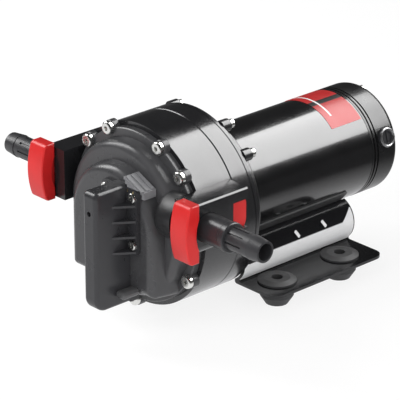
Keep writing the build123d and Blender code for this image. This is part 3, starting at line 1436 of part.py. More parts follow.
# Bracket: one stamped sheet with two bulged risers and a cradle for the can
cradle_radius = can_radius + liner_gap + liner_thickness
centre_drop = axis_height - riser_centre_z
centre_distance = sqrt(riser_centre_y ** 2 + centre_drop ** 2)
reach = (centre_distance ** 2 + cradle_radius ** 2 - riser_radius ** 2) / (2 * centre_distance)
half_chord = sqrt(cradle_radius ** 2 - reach ** 2)
fold_y = (riser_centre_y * reach + centre_drop * half_chord) / centre_distance
fold_drop = (centre_drop * reach - riser_centre_y * half_chord) / centre_distance
plate_level = plate_top_z - axis_height
riser_level = -centre_drop
foot_of_riser_y = riser_centre_y + sqrt(riser_radius ** 2 - (riser_level - plate_level) ** 2)
with BuildPart() as bracket:
    with BuildSketch(rear_plane(bracket_front_x)) as sheet:
        with BuildLine() as half_sheet:
            Line((plate_outer_y, plate_level), (foot_of_riser_y, plate_level))
            ThreePointArc((foot_of_riser_y, plate_level), (riser_centre_y + riser_radius, riser_level),
                          (fold_y, -fold_drop))
            ThreePointArc((fold_y, -fold_drop), on_circle(cradle_radius, fold_arc_angle), (0, -cradle_radius))
            offset(amount=sheet_thickness, side=Side.LEFT)
        make_face()
        mirror(about=Plane.YZ)
        inner_vertices = [v for v in sheet.vertices() if abs(v.Y - plate_level) < sheet_thickness / 2
                          and abs(v.X) < plate_outer_y - sheet_thickness]
        fillet(inner_vertices, radius=fold_radius)
    extrude(amount=bracket_length)
    corners = bracket.edges().filter_by(Axis.Z).group_by(Axis.Y)
    fillet(corners[0] + corners[-1], radius=plate_corner_radius)
    with BuildSketch(Plane.XY.offset(plate_top_z)):
        with GridLocations(foot_spacing_x, foot_spacing_y, 2, 2):
            Circle(foot_neck_radius)
    extrude(amount=-sheet_thickness, mode=Mode.SUBTRACT)
    # Pressed pips on the bulge of each riser
    for side in (1, -1):
        for pip_x in (pip_centre_x - pip_spacing / 2, pip_centre_x + pip_spacing / 2):
            pip_plane = Plane(origin=(pip_x, side * riser_centre_y, riser_centre_z), x_dir=(1, 0, 0),
                              z_dir=(0, side * cos(radians(pip_angle)), sin(radians(pip_angle))))
            with BuildSketch(pip_plane.offset(riser_radius - sheet_thickness / 2)):
                Circle(pip_radius)
            extrude(amount=sheet_thickness / 2 + pip_height)
bracket.part.label = "bracket"
export_step(bracket.part, "parts/bracket.step")

with BuildPart() as cradle_liner:
    with BuildSketch(rear_plane(bracket_front_x + liner_setback)):
        add(ring_sector(can_radius + liner_gap, cradle_radius, 180 + liner_edge_angle,
                        180 - 2 * liner_edge_angle))
    extrude(amount=bracket_length - 2 * liner_setback)
cradle_liner.part.label = "cradle_liner"
export_step(cradle_liner.part, "parts/cradle_liner.step")

# Rubber feet pressed through the bracket
foot_profile = (
    (foot_hole_radius, 0),
    (foot_floor_radius, 0),
    (foot_base_radius, foot_waist_height),
    (foot_base_radius, plate_top_z - sheet_thickness),
    (foot_neck_radius, plate_top_z - sheet_thickness),
    (foot_neck_radius, plate_top_z),
    (foot_top_radius, plate_top_z),
    (foot_top_radius, plate_top_z + foot_top_edge),
    (foot_crown_radius, plate_top_z + foot_top_height),
    (foot_hole_radius, plate_top_z + foot_top_height),
)
with BuildPart() as foot:
    with BuildSketch(Plane.XZ):
        with BuildLine():
            Polyline(*foot_profile, close=True)
        make_face()
    revolve(axis=Axis.Z)
with BuildPart() as rubber_feet:
    with GridLocations(foot_spacing_x, foot_spacing_y, 2, 2):
        add(foot.part)
rubber_feet.part.label = "rubber_feet"
export_step(rubber_feet.part, "parts/rubber_feet.step")
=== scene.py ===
"""Looks of the caravan water pump: finishes, small details, studio light and camera."""

import json
import math

import bmesh
import bpy
from mathutils import Matrix, Vector


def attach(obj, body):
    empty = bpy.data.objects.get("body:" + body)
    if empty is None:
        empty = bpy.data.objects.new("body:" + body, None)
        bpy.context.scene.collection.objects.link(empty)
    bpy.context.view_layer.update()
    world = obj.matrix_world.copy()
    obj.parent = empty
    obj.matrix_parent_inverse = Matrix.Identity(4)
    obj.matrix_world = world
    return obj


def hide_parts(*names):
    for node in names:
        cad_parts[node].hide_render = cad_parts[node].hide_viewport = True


MM = 0.001
FULL_TURN = 2 * math.pi
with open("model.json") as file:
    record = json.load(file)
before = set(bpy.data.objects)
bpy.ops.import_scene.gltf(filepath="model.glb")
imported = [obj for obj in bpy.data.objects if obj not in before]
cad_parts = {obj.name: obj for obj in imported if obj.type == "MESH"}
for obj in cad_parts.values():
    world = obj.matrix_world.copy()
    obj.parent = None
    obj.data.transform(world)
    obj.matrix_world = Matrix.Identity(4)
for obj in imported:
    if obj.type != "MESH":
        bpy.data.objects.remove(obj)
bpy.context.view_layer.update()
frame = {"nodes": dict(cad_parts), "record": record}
nodes = frame["nodes"]

# Camera, fitted to the photograph
CAMERA_PLACE = (-1.1528, -1.18345, 0.7611)
CAMERA_RIGHT = (0.7336, -0.6796, 0.0)
CAMERA_UP = (0.2684, 0.2897, 0.9187)
CAMERA_BACK = (-0.6243, -0.6740, 0.3949)
CAMERA_LENS_MM = 231.7
CAMERA_CLIP_END = 100.0
SENSOR_WIDTH_MM = 36.0

# Height of the pump's axis
AXIS_Z = 74 * MM

# Bracket: centre line and radius of a riser, its band of painted floor reflection and its pressed
# pips with painted glints
RISER_Y = 22.8 * MM
RISER_Z = 30 * MM
RISER_RADIUS = 16.5 * MM
BAND_X = (-51.0 * MM, 54.6 * MM)
BAND_TOP_ANGLE = math.radians(12)
BAND_SWEEP_X = (44 * MM, 54 * MM)
BAND_SWEEP_ANGLE = math.radians(30)
BAND_EDGE_SOFTNESS = 0.02
BAND_INNER_FADE = (-2.0 * MM, 0.0)
BAND_REACH = (RISER_RADIUS - 0.25 * MM, RISER_RADIUS + 0.3 * MM)
# Places of the pips, and the half width and lean of the painted glint on each
PIP_PLACES = (-0.5 * MM, 25.5 * MM)
PIP_GLINT = 1.4 * MM
PIP_LEAN = 4.0 * MM
PIP_LEAN_ANGLE = math.radians(54)
PIP_CROWN_REACH = (RISER_RADIUS + 0.8 * MM, RISER_RADIUS + 2 * MM)
PIP_CROWN_RISE = 1.0 * MM

# Label film round the can: its extent, its black stripe and its white rule
LABEL_X = (42.0 * MM, 71.0 * MM)
LABEL_ANGLES = (math.radians(44), math.radians(118))
LABEL_RADII = (39.25 * MM, 39.5 * MM)
LABEL_STEPS = 48
STRIPE_ANGLES = (math.radians(77), math.radians(84))
RULE_X = (47.6 * MM, 49.2 * MM)
RULE_ANGLES = (math.radians(58), math.radians(114))
PRINT_ANGLE_SOFTNESS = 0.005

# Rolled rims of the brush caps
CAP_X = 87.0 * MM
CAP_ANGLE = math.radians(17.3)
CAP_REACH = 41.0 * MM
RIM_RADIUS = 6.2 * MM
RIM_BEAD_RADIUS = 0.9 * MM
RIM_STEPS = 64
RIM_BEAD_STEPS = 14

# Foot lug low on the side of the pressure switch
LUG_SIZE = (15.0 * MM, 8.6 * MM, 5.0 * MM)
LUG_CENTRE = (-143.5 * MM, -23.8 * MM, 34.0 * MM)
LUG_ROUNDING = 2.0 * MM
LUG_ROUNDING_STEPS = 5

# Grip of the clips: where it ends, its centre and its share of the CAD solid's size
GRIP_END_X = -130.02 * MM
GRIP_CENTRE_Y = 72.0 * MM
GRIP_CENTRE_Z = 90.5 * MM
GRIP_WIDTH_SHARE = 0.88
GRIP_HEIGHT_SHARE = 0.91

# Sleeves on the ends of the head screws; the profile is (x, radius) in millimetres
SCREW_CIRCLE = 61.0 * MM
SCREW_ANGLES = (42, 66, 114, 138, 210, 270, 330)
SLEEVE_PROFILE = ((-55.0, 2.2), (-55.0, 3.1), (-50.6, 3.1), (-50.0, 2.6), (-50.0, 2.2))
SLEEVE_STEPS = 32

# Shoulder of the outlet; the profile is (y, radius) in millimetres
SHOULDER_X = -120.0 * MM
SHOULDER_Z = 91.0 * MM
SHOULDER_PROFILE = ((-38.0, 5.0), (-38.4, 10.0), (-39.8, 13.3),
                    (-42.2, 15.5), (-45.0, 16.3), (-56.9, 16.5))
SHOULDER_STEPS = 40

# The added pieces are shaded smooth over edges that bend by less than this
SMOOTH_ANGLE = math.radians(35)

# Softness of painted edges, and the range that most noise stays in
PAINT_SOFTNESS = 0.1 * MM
NOISE_RANGE = (0.3, 0.7)
PLASTIC_NOISE_RANGE = (0.35, 0.7)

# Colour sockets of the mix node
MIX_FIRST, MIX_SECOND, MIX_RESULT = 6, 7, 2

# Floor: seen white by the camera with a share of its shadow, mirrored as a pale patch that fades
FLOOR_SIZE = 60.0
FLOOR_Z = -0.0002
FLOOR_COLOR = (0.9, 0.9, 0.9)
FLOOR_ROUGHNESS = 0.9
FLOOR_CAMERA_STRENGTH = 1.04
SHADOW_SHARE = 0.2
PATCH_COLOR = (0.85, 0.85, 0.86)
PATCH_CENTRE = (-0.35, 0.3, 0.0)
PATCH_FADE = (0.57, 0.69)
PATCH_STRENGTH = (1.0, 0.1)

# Room: its light on the pump, its tone in reflections and its tone for the camera
ROOM_LIGHT = (0.38, 0.38, 0.38)
ROOM_MIRRORED = (0.035, 0.035, 0.035)
ROOM_SEEN = (1.0, 1.0, 1.0)


def feed(tree, socket, value):
    """Set a socket to a number or a colour, or link an output to it."""
    if isinstance(value, bpy.types.NodeSocket):
        tree.links.new(value, socket)
    else:
        socket.default_value = (*value, 1.0) if isinstance(value, tuple) else value


def node_material(name, base_color, roughness, metallic=0.0):
    """A new material with its shader, ready for its node tree to be filled."""
    material = bpy.data.materials.new(name)
    material.use_nodes = True
    tree = material.node_tree
    shader = tree.nodes["Principled BSDF"]
    feed(tree, shader.inputs["Base Color"], base_color)
    feed(tree, shader.inputs["Roughness"], roughness)
    feed(tree, shader.inputs["Metallic"], metallic)
    return material, tree, shader


def object_coordinates(tree, scale=(1.0, 1.0, 1.0)):
    """Object coordinates, stretched by a scale."""
    coordinates = tree.nodes.new("ShaderNodeTexCoord")
    mapping = tree.nodes.new("ShaderNodeMapping")
    mapping.inputs["Scale"].default_value = scale
    tree.links.new(coordinates.outputs["Object"], mapping.inputs["Vector"])
    return mapping.outputs["Vector"]


def split(tree, vector):
    """The X, Y and Z of a vector."""
    node = tree.nodes.new("ShaderNodeSeparateXYZ")
    tree.links.new(vector, node.inputs["Vector"])
    return node.outputs["X"], node.outputs["Y"], node.outputs["Z"]


def noise(tree, vector, scale, detail, roughness):
    """A noise texture's value."""
    texture = tree.nodes.new("ShaderNodeTexNoise")
    texture.inputs["Scale"].default_value = scale
    texture.inputs["Detail"].default_value = detail
    texture.inputs["Roughness"].default_value = roughness
    tree.links.new(vector, texture.inputs["Vector"])
    return texture.outputs["Fac"]


def remap(tree, value, from_range, to_range):
    """A value moved from one range to another, and held within it."""
    node = tree.nodes.new("ShaderNodeMapRange")
    node.inputs["From Min"].default_value, node.inputs["From Max"].default_value = from_range
    node.inputs["To Min"].default_value, node.inputs["To Max"].default_value = to_range
    tree.links.new(value, node.inputs["Value"])
    return node.outputs["Result"]


def maths(tree, operation, first, second=None):
    """A maths node on values or outputs."""
    node = tree.nodes.new("ShaderNodeMath")
    node.operation = operation
    feed(tree, node.inputs[0], first)
    if second is not None:
        feed(tree, node.inputs[1], second)
    return node.outputs["Value"]


def inside(tree, value, limits, soft):
    """One between two limits, nought outside, with soft ends."""
    low, high = limits
    rising = remap(tree, value, (low - soft, low + soft), (0.0, 1.0))
    falling = remap(tree, value, (high - soft, high + soft), (1.0, 0.0))
    return maths(tree, "MULTIPLY", rising, falling)


def mix_colors(tree, factor, first, second):
    """Two colours or colour outputs mixed by a factor."""
    node = tree.nodes.new("ShaderNodeMix")
    node.data_type = "RGBA"
    tree.links.new(factor, node.inputs["Factor"])
    feed(tree, node.inputs[MIX_FIRST], first)
    feed(tree, node.inputs[MIX_SECOND], second)
    return node.outputs[MIX_RESULT]


def mix_shaders(tree, factor, first, second):
    """Two shaders mixed by a share or an output."""
    node = tree.nodes.new("ShaderNodeMixShader")
    feed(tree, node.inputs["Fac"], factor)
    tree.links.new(first, node.inputs[1])
    tree.links.new(second, node.inputs[2])
    return node.outputs["Shader"]


def shade(color, factor, lift=0.0):
    """A colour made darker or lighter."""
    return tuple(min(1.0, channel * factor + lift) for channel in color)


def vary_roughness(tree, shader, pattern, limits, pattern_range=NOISE_RANGE):
    """Roughness that follows a pattern between two limits."""
    tree.links.new(remap(tree, pattern, pattern_range, limits), shader.inputs["Roughness"])


def add_coat(shader, weight, roughness):
    """A clear layer of gloss over the base."""
    shader.inputs["Coat Weight"].default_value = weight
    shader.inputs["Coat Roughness"].default_value = roughness


def add_bump(tree, shader, height, strength, distance):
    """Bump from a height value."""
    node = tree.nodes.new("ShaderNodeBump")
    node.inputs["Strength"].default_value = strength
    node.inputs["Distance"].default_value = distance
    tree.links.new(height, node.inputs["Height"])
    tree.links.new(node.outputs["Normal"], shader.inputs["Normal"])


def moulded_plastic(name, color, roughness, grain, coat=0.0):
    """Injection moulded plastic: fine grain, slight unevenness of gloss, faint dust."""
    material, tree, shader = node_material(name, color, roughness)
    vector = object_coordinates(tree)
    clouds = noise(tree, vector, scale=38.0, detail=5.0, roughness=0.6)
    fine = noise(tree, vector, scale=900.0, detail=3.0, roughness=0.5)
    vary_roughness(tree, shader, clouds, (roughness * 0.8, roughness * 1.3), PLASTIC_NOISE_RANGE)
    dusty = mix_colors(tree, clouds, color, shade(color, 1.5, lift=0.004))
    tree.links.new(dusty, shader.inputs["Base Color"])
    add_coat(shader, coat, roughness=0.08)
    add_bump(tree, shader, fine, strength=grain, distance=0.15 * MM)
    return material


def coated_metal(name, color, roughness, ripple, coat=0.6):
    """Sprayed enamel on sheet steel: orange peel, uneven gloss and a clear coat."""
    material, tree, shader = node_material(name, color, roughness)
    vector = object_coordinates(tree)
    peel = noise(tree, vector, scale=260.0, detail=2.0, roughness=0.4)
    clouds = noise(tree, vector, scale=30.0, detail=4.0, roughness=0.55)
    vary_roughness(tree, shader, clouds, (roughness * 0.75, roughness * 1.35))
    add_coat(shader, coat, roughness=0.05)
    add_bump(tree, shader, peel, strength=ripple, distance=0.2 * MM)
    return material


def bare_metal(name, color, roughness, stretch=(1.0, 1.0, 1.0)):
    """Bare metal with fine drawn or turned scratches along one axis, and faint stains."""
    material, tree, shader = node_material(name, color, roughness, metallic=1.0)
    scratches = noise(tree, object_coordinates(tree, stretch), scale=700.0, detail=4.0,
                      roughness=0.6)
    stains = noise(tree, object_coordinates(tree), scale=60.0, detail=4.0, roughness=0.6)
    vary_roughness(tree, shader, scratches, (roughness * 0.7, roughness * 1.5))
    stained = mix_colors(tree, stains, shade(color, 0.85), color)
    tree.links.new(stained, shader.inputs["Base Color"])
    add_bump(tree, shader, scratches, strength=0.15, distance=0.05 * MM)
    return material


def soft_rubber(name, color, roughness):
    """Matt rubber with a fine mould texture and pale bloom."""
    material, tree, shader = node_material(name, color, roughness)
    vector = object_coordinates(tree)
    bloom = noise(tree, vector, scale=55.0, detail=5.0, roughness=0.65)
    pores = noise(tree, vector, scale=1400.0, detail=2.0, roughness=0.5)
    bloomed = mix_colors(tree, bloom, color, shade(color, 1.8, lift=0.01))
    tree.links.new(bloomed, shader.inputs["Base Color"])
    vary_roughness(tree, shader, bloom, (roughness * 0.85, roughness * 1.15))
    add_bump(tree, shader, pores, strength=0.35, distance=0.2 * MM)
    return material


def bracket_coat(name):
    """Glossy black coat with painted light: a pale floor reflection under each riser, glints on
    its pips.
    """
    # Pale grey of the painted floor reflection and of the painted pip glints, beside the black
    # coat
    coat_color, painted_light_color = (0.008, 0.008, 0.009), (0.8, 0.8, 0.81)
    coat_roughness, painted_light_extra_roughness = (0.14, 0.26), 0.3
    streak_stretch = (0.15, 1.0, 1.0)
    material, tree, shader = node_material(name, coat_color, roughness=0.2)
    vector = object_coordinates(tree)
    length, sideways, height = split(tree, vector)
    # Distance and angle about the centre line of the nearer riser
    across = maths(tree, "SUBTRACT", maths(tree, "ABSOLUTE", sideways), RISER_Y)
    upward = maths(tree, "SUBTRACT", height, RISER_Z)
    squares = maths(tree, "ADD", maths(tree, "MULTIPLY", across, across),
                    maths(tree, "MULTIPLY", upward, upward))
    reach = maths(tree, "SQRT", squares)
    angle = maths(tree, "ARCTAN2", upward, across)
    # The painted floor reflection ends a little above the riser's widest line and sweeps up at the
    # rear end
    sweep = remap(tree, length, BAND_SWEEP_X, (0.0, BAND_SWEEP_ANGLE))
    edge = maths(tree, "SUBTRACT", maths(tree, "SUBTRACT", angle, sweep), BAND_TOP_ANGLE)
    below = remap(tree, edge, (-BAND_EDGE_SOFTNESS, BAND_EDGE_SOFTNESS), (1.0, 0.0))
    on_riser = inside(tree, reach, BAND_REACH, PAINT_SOFTNESS)
    along = inside(tree, length, BAND_X, PAINT_SOFTNESS)
    outward = remap(tree, across, BAND_INNER_FADE, (0.0, 1.0))
    painted_floor_reflection = maths(tree, "MULTIPLY", maths(tree, "MULTIPLY", below, on_riser),
                 maths(tree, "MULTIPLY", along, outward))
    # A painted glint: a slanted bright mark on the crown of each pip
    lean = remap(tree, angle, (0.0, PIP_LEAN_ANGLE), (-PIP_LEAN, PIP_LEAN))
    slanted = maths(tree, "ADD", length, lean)
    front_glint, rear_glint = (
        inside(tree, slanted, (place - PIP_GLINT, place + PIP_GLINT), PAINT_SOFTNESS)
        for place in PIP_PLACES)
    crown = maths(tree, "MULTIPLY", inside(tree, reach, PIP_CROWN_REACH, PAINT_SOFTNESS),
                  remap(tree, upward, (0.0, PIP_CROWN_RISE), (0.0, 1.0)))
    pip_glints = maths(tree, "MULTIPLY", crown, maths(tree, "MAXIMUM", front_glint, rear_glint))
    # Painted light: the painted floor reflection on the risers together with the painted glints on
    # the pips
    painted_light = maths(tree, "MAXIMUM", painted_floor_reflection, pip_glints)
    grain = noise(tree, object_coordinates(tree, streak_stretch), scale=900.0, detail=3.0,
                  roughness=0.6)
    streaked = mix_colors(tree, grain, shade(painted_light_color, 0.8), painted_light_color)
    tree.links.new(mix_colors(tree, painted_light, coat_color, streaked), shader.inputs["Base Color"])
    clouds = noise(tree, vector, scale=34.0, detail=4.0, roughness=0.55)
    coat_gloss = remap(tree, clouds, NOISE_RANGE, coat_roughness)
    gloss = maths(tree, "ADD", coat_gloss, maths(tree, "MULTIPLY", painted_light, painted_light_extra_roughness))
    tree.links.new(gloss, shader.inputs["Roughness"])
    peel = noise(tree, vector, scale=240.0, detail=2.0, roughness=0.4)
    add_bump(tree, shader, peel, strength=0.06, distance=0.2 * MM)
    return material


def label_print(name):
    """Printed film: a red field with a black stripe along it and a white rule, no words."""
    red, black, white = (0.46, 0.012, 0.012), (0.01, 0.01, 0.01), (0.85, 0.85, 0.85)
    material, tree, shader = node_material(name, red, roughness=0.3)
    vector = object_coordinates(tree)
    length, sideways, height = split(tree, vector)
    # Angle about the can's axis, from the near side upwards
    angle = maths(tree, "ARCTAN2", maths(tree, "SUBTRACT", height, AXIS_Z),
                  maths(tree, "MULTIPLY", sideways, -1.0))
    stripe = inside(tree, angle, STRIPE_ANGLES, PRINT_ANGLE_SOFTNESS)
    rule = maths(tree, "MULTIPLY", inside(tree, length, RULE_X, PAINT_SOFTNESS),
                 inside(tree, angle, RULE_ANGLES, PRINT_ANGLE_SOFTNESS))
    speckle = noise(tree, vector, scale=70.0, detail=4.0, roughness=0.6)
    field = mix_colors(tree, speckle, red, shade(red, 1.12))
    striped = mix_colors(tree, stripe, field, black)
    tree.links.new(mix_colors(tree, rule, striped, white), shader.inputs["Base Color"])
    vary_roughness(tree, shader, speckle, (0.36, 0.48))
    add_coat(shader, weight=0.05, roughness=0.1)
    grain = noise(tree, vector, scale=500.0, detail=2.0, roughness=0.5)
    add_bump(tree, shader, grain, strength=0.03, distance=0.1 * MM)
    return material


# One finish for each material slot of the record
FINISHES = {
    "housing_black": moulded_plastic("glossy_black_plastic", (0.008, 0.008, 0.009),
                                     roughness=0.22, grain=0.04, coat=0.42),
    "cover_black": moulded_plastic("satin_black_plastic", (0.034, 0.034, 0.036),
                                   roughness=0.3, grain=0.1),
    "switch_black": moulded_plastic("fine_black_plastic", (0.019, 0.019, 0.021),
                                    roughness=0.3, grain=0.12),
    "fitting_black": moulded_plastic("fitting_plastic", (0.02, 0.02, 0.022),
                                     roughness=0.36, grain=0.08),
    "clip_red": moulded_plastic("red_plastic", (0.4, 0.008, 0.008), roughness=0.36, grain=0.05),
    "steel": bare_metal("stainless_steel", (0.92, 0.92, 0.89), roughness=0.22),
    "zinc_steel": bare_metal("plated_steel", (0.58, 0.58, 0.56), roughness=0.32,
                             stretch=(0.05, 1.0, 1.0)),
    "boot_rubber": soft_rubber("grey_rubber", (0.12, 0.12, 0.126), roughness=0.5),
    "seal_rubber": soft_rubber("seal_rubber", (0.015, 0.015, 0.015), roughness=0.5),
    "foot_rubber": soft_rubber("foot_rubber", (0.02, 0.02, 0.021), roughness=0.6),
    "inner_white": moulded_plastic("pale_plastic", (0.72, 0.71, 0.67), roughness=0.4, grain=0.08),
    "cast": coated_metal("cast_black", (0.012, 0.012, 0.013), roughness=0.3, ripple=0.25),
    "can_black": coated_metal("can_enamel", (0.006, 0.006, 0.0065), roughness=0.2, ripple=0.03),
    "bracket_black": bracket_coat("bracket_coat"),
    "magnet": bare_metal("magnet_grey", (0.13, 0.13, 0.135), roughness=0.5),
    "core": bare_metal("core_sheets", (0.4, 0.4, 0.41), roughness=0.4, stretch=(12.0, 0.2, 0.2)),
    "winding": bare_metal("copper_wire", (0.7, 0.3, 0.12), roughness=0.3, stretch=(0.2, 6.0, 6.0)),
    "copper": bare_metal("copper_bars", (0.78, 0.42, 0.26), roughness=0.3,
                         stretch=(0.1, 1.0, 1.0)),
    "carbon": soft_rubber("carbon", (0.03, 0.03, 0.032), roughness=0.5),
    "brass": bare_metal("brass", (0.75, 0.56, 0.25), roughness=0.28, stretch=(0.1, 1.0, 1.0)),
    "label": label_print("label_film"),
}
for subpart in frame["record"]["subparts"]:
    materials = nodes[subpart["node"]].data.materials
    materials.clear()
    materials.append(FINISHES[subpart["material_slot"]])

# The bell's coat is duller than the can's, though both have one slot
nodes["end_bell"].data.materials[0] = coated_metal("bell_enamel", (0.007, 0.007, 0.0075),
                                                   roughness=0.3, ripple=0.05, coat=0.2)


def add_object(name, data):
    """A new object in the scene's own collection."""
    thing = bpy.data.objects.new(name, data)
    bpy.context.scene.collection.objects.link(thing)
    return thing


def new_piece(name, builder, finish):
    """A fixed piece of the pump from a filled bmesh, with smooth faces."""
    bmesh.ops.recalc_face_normals(builder, faces=builder.faces)
    mesh = bpy.data.meshes.new(name)
    builder.to_mesh(mesh)
    builder.free()
    mesh.materials.append(finish)
    mesh.shade_smooth()
    mesh.set_sharp_from_angle(angle=SMOOTH_ANGLE)
    piece = add_object(name, mesh)
    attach(piece, "pump")
    return piece


def bridge(builder, rings, path_closed=True, profile_closed=True):
    """Faces from each ring of corners to the next one."""
    following_rings = rings[1:] + rings[:1] if path_closed else rings[1:]
    for ring, following in zip(rings, following_rings):
        for corner in range(len(ring) if profile_closed else len(ring) - 1):
            after = (corner + 1) % len(ring)
            builder.faces.new((ring[corner], ring[after], following[after], following[corner]))


# Each rolled rim is a round bead about the cap's outward axis, half out of the cap's face
rims = bmesh.new()
for side in (-1, 1):
    axis = Vector((0.0, side * math.cos(CAP_ANGLE), -side * math.sin(CAP_ANGLE))).normalized()
    centre = Vector((CAP_X, 0.0, AXIS_Z)) + axis * CAP_REACH
    first = axis.orthogonal().normalized()
    second = axis.cross(first)
    rings = []
    for step in range(RIM_STEPS):
        turn = FULL_TURN * step / RIM_STEPS
        spoke = first * math.cos(turn) + second * math.sin(turn)
        swings = [FULL_TURN * point / RIM_BEAD_STEPS for point in range(RIM_BEAD_STEPS)]
        rings.append([rims.verts.new(centre
                                     + spoke * (RIM_RADIUS + RIM_BEAD_RADIUS * math.cos(swing))
                                     + axis * RIM_BEAD_RADIUS * math.sin(swing))
                      for swing in swings])
    bridge(rims, rings)
new_piece("brush_cap_rims", rims, bare_metal("rim_metal", (0.5, 0.5, 0.51), roughness=0.3))

lug = bmesh.new()
bmesh.ops.create_cube(lug, size=1.0)
bmesh.ops.scale(lug, vec=LUG_SIZE, verts=lug.verts)
bmesh.ops.bevel(lug, geom=lug.edges[:], offset=LUG_ROUNDING, segments=LUG_ROUNDING_STEPS,
                profile=0.5, affect="EDGES", clamp_overlap=True)
bmesh.ops.translate(lug, vec=LUG_CENTRE, verts=lug.verts)
new_piece("switch_lug", lug,
          moulded_plastic("lug_plastic", (0.05, 0.05, 0.052), roughness=0.25, grain=0.08))

# Clips with a slimmer grip than the CAD solids have, as in the photograph
for name, side in (("inlet_clip", 1), ("outlet_clip", -1)):
    mesh = nodes[name].data.copy()
    centre_y = side * GRIP_CENTRE_Y
    for vertex in mesh.vertices:
        if vertex.co.x < GRIP_END_X:
            vertex.co.y = centre_y + (vertex.co.y - centre_y) * GRIP_WIDTH_SHARE
            vertex.co.z = GRIP_CENTRE_Z + (vertex.co.z - GRIP_CENTRE_Z) * GRIP_HEIGHT_SHARE
    clip = add_object(name + "_moulding", mesh)
    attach(clip, name)
    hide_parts(name)

# Plain steel sleeves on the screw ends, behind the motor plate
sleeves = bmesh.new()
for place in SCREW_ANGLES:
    centre = Vector((0.0, SCREW_CIRCLE * math.cos(math.radians(place)),
                     AXIS_Z + SCREW_CIRCLE * math.sin(math.radians(place))))
    rings = []
    for step in range(SLEEVE_STEPS):
        turn = FULL_TURN * step / SLEEVE_STEPS
        rings.append([
            sleeves.verts.new(centre + Vector((x, radius * math.cos(turn),
                                               radius * math.sin(turn))) * MM)
            for x, radius in SLEEVE_PROFILE])
    bridge(sleeves, rings)
new_piece("screw_sleeves", sleeves, FINISHES["steel"])

# The shoulder is a rounded half tube from the cover's dome to the port block
shoulder = bmesh.new()
bows = []
for step in range(SHOULDER_STEPS + 1):
    turn = math.pi * step / SHOULDER_STEPS
    bows.append([shoulder.verts.new((SHOULDER_X - radius * math.sin(turn) * MM, y * MM,
                                     SHOULDER_Z + radius * math.cos(turn) * MM))
                 for y, radius in SHOULDER_PROFILE])
bridge(shoulder, bows, path_closed=False, profile_closed=False)
shoulder.faces.new([bow[0] for bow in bows])
shoulder.faces.new([bow[-1] for bow in bows])
shoulder.faces.new(bows[0] + bows[-1][::-1])
new_piece("outlet_shoulder", shoulder,
          moulded_plastic("shoulder_plastic", (0.012, 0.012, 0.013), roughness=0.4, grain=0.08))

# The label film is a thin bent sheet round the can
film = bmesh.new()
film_corners = ((LABEL_X[0], LABEL_RADII[0]), (LABEL_X[0], LABEL_RADII[1]),
                (LABEL_X[1], LABEL_RADII[1]), (LABEL_X[1], LABEL_RADII[0]))
rows = []
for step in range(LABEL_STEPS + 1):
    turn = LABEL_ANGLES[0] + (LABEL_ANGLES[1] - LABEL_ANGLES[0]) * step / LABEL_STEPS
    rows.append([film.verts.new((x, -radius * math.cos(turn), AXIS_Z + radius * math.sin(turn)))
                 for x, radius in film_corners])
bridge(film, rows, path_closed=False)
film.faces.new(rows[0])
film.faces.new(reversed(rows[-1]))
label = new_piece("label_film", film, FINISHES["label"])
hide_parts("motor_label")


def floor_surface(name):
    """A pale floor: the camera sees a share of its shadow, reflections see its pale patch."""
    material, tree, shader = node_material(name, FLOOR_COLOR, FLOOR_ROUGHNESS)
    shader.inputs["Specular IOR Level"].default_value = 0.0
    path = tree.nodes.new("ShaderNodeLightPath")
    plain = tree.nodes.new("ShaderNodeEmission")
    plain.inputs["Strength"].default_value = FLOOR_CAMERA_STRENGTH
    seen = mix_shaders(tree, SHADOW_SHARE, plain.outputs["Emission"], shader.outputs["BSDF"])
    by_camera = mix_shaders(tree, path.outputs["Is Camera Ray"], shader.outputs["BSDF"], seen)
    geometry = tree.nodes.new("ShaderNodeNewGeometry")
    distance = tree.nodes.new("ShaderNodeVectorMath")
    distance.operation = "DISTANCE"
    distance.inputs[1].default_value = PATCH_CENTRE
    tree.links.new(geometry.outputs["Position"], distance.inputs[0])
    fade = remap(tree, distance.outputs["Value"], PATCH_FADE, PATCH_STRENGTH)
    mirrored = tree.nodes.new("ShaderNodeEmission")
    feed(tree, mirrored.inputs["Color"], PATCH_COLOR)
    tree.links.new(fade, mirrored.inputs["Strength"])
    surface = mix_shaders(tree, path.outputs["Is Glossy Ray"], by_camera,
                          mirrored.outputs["Emission"])
    tree.links.new(surface, tree.nodes["Material Output"].inputs["Surface"])
    return material


floor_mesh = bpy.data.meshes.new("floor")
half = FLOOR_SIZE / 2
floor_mesh.from_pydata([(-half, -half, FLOOR_Z), (half, -half, FLOOR_Z),
                        (half, half, FLOOR_Z), (-half, half, FLOOR_Z)], [], [(0, 1, 2, 3)])
floor_mesh.materials.append(floor_surface("floor_white"))
floor = add_object("floor", floor_mesh)

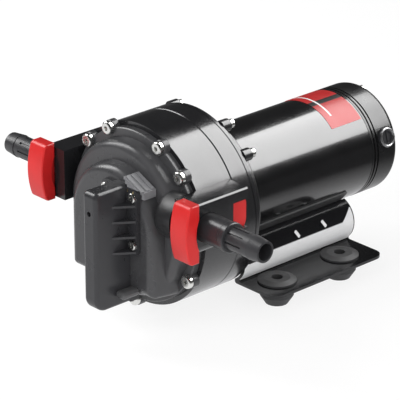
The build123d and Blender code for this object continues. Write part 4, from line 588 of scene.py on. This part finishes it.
world = bpy.data.worlds.new("studio")
bpy.context.scene.world = world
world.use_nodes = True
tree = world.node_tree
path = tree.nodes.new("ShaderNodeLightPath")
unseen = mix_colors(tree, path.outputs["Is Glossy Ray"], ROOM_LIGHT, ROOM_MIRRORED)
room = mix_colors(tree, path.outputs["Is Camera Ray"], unseen, ROOM_SEEN)
tree.links.new(room, tree.nodes["Background"].inputs["Color"])


def softbox(name, direction, distance, width, height, power, along=(0.0, 0.0, 1.0)):
    """A rectangular light facing the pump from a direction, its height along a given way."""
    data = bpy.data.lights.new(name, "AREA")
    data.shape = "RECTANGLE"
    data.size = width
    data.size_y = height
    data.energy = power
    lamp = add_object(name, data)
    away = Vector(direction).normalized()
    across = Vector(along).cross(away).normalized()
    axes = Matrix((across, away.cross(across), away)).transposed()
    centre = Vector((0.0, 0.0, AXIS_Z))
    lamp.matrix_world = Matrix.Translation(centre + away * distance) @ axes.to_4x4()
    return lamp


# The key only makes reflections, and none on the bracket; the two fills make none at all
key = softbox("key", (0.62, -0.24, 0.62), distance=1.1, width=0.8, height=1.2, power=26.0,
              along=(0.0, 0.93, 0.49))
key.visible_diffuse = False
unlit = bpy.data.collections.new("without_key")
unlit.objects.link(nodes["bracket"])
unlit.collection_objects[0].light_linking.link_state = "EXCLUDE"
key.light_linking.receiver_collection = unlit
front_fill = softbox("front_fill", (-0.85, -0.15, 0.5), distance=1.5, width=1.2, height=1.2,
                     power=13.0)
front_fill.visible_glossy = False
right_fill = softbox("right_fill", (-0.2, -0.95, 0.3), distance=1.4, width=1.0, height=1.0,
                     power=11.0)
right_fill.visible_glossy = False
softbox("left_rim", (-0.34, 0.72, 0.62), distance=1.3, width=0.5, height=0.9, power=12.0)

camera_data = bpy.data.cameras.new("camera")
camera_data.lens = CAMERA_LENS_MM
camera_data.sensor_width = SENSOR_WIDTH_MM
camera_data.clip_end = CAMERA_CLIP_END
camera = add_object("camera", camera_data)
axes = Matrix((CAMERA_RIGHT, CAMERA_UP, CAMERA_BACK)).transposed()
camera.matrix_world = Matrix.Translation(CAMERA_PLACE) @ axes.to_4x4()
bpy.context.scene.camera = camera
bpy.context.scene.view_settings.view_transform = "Standard"
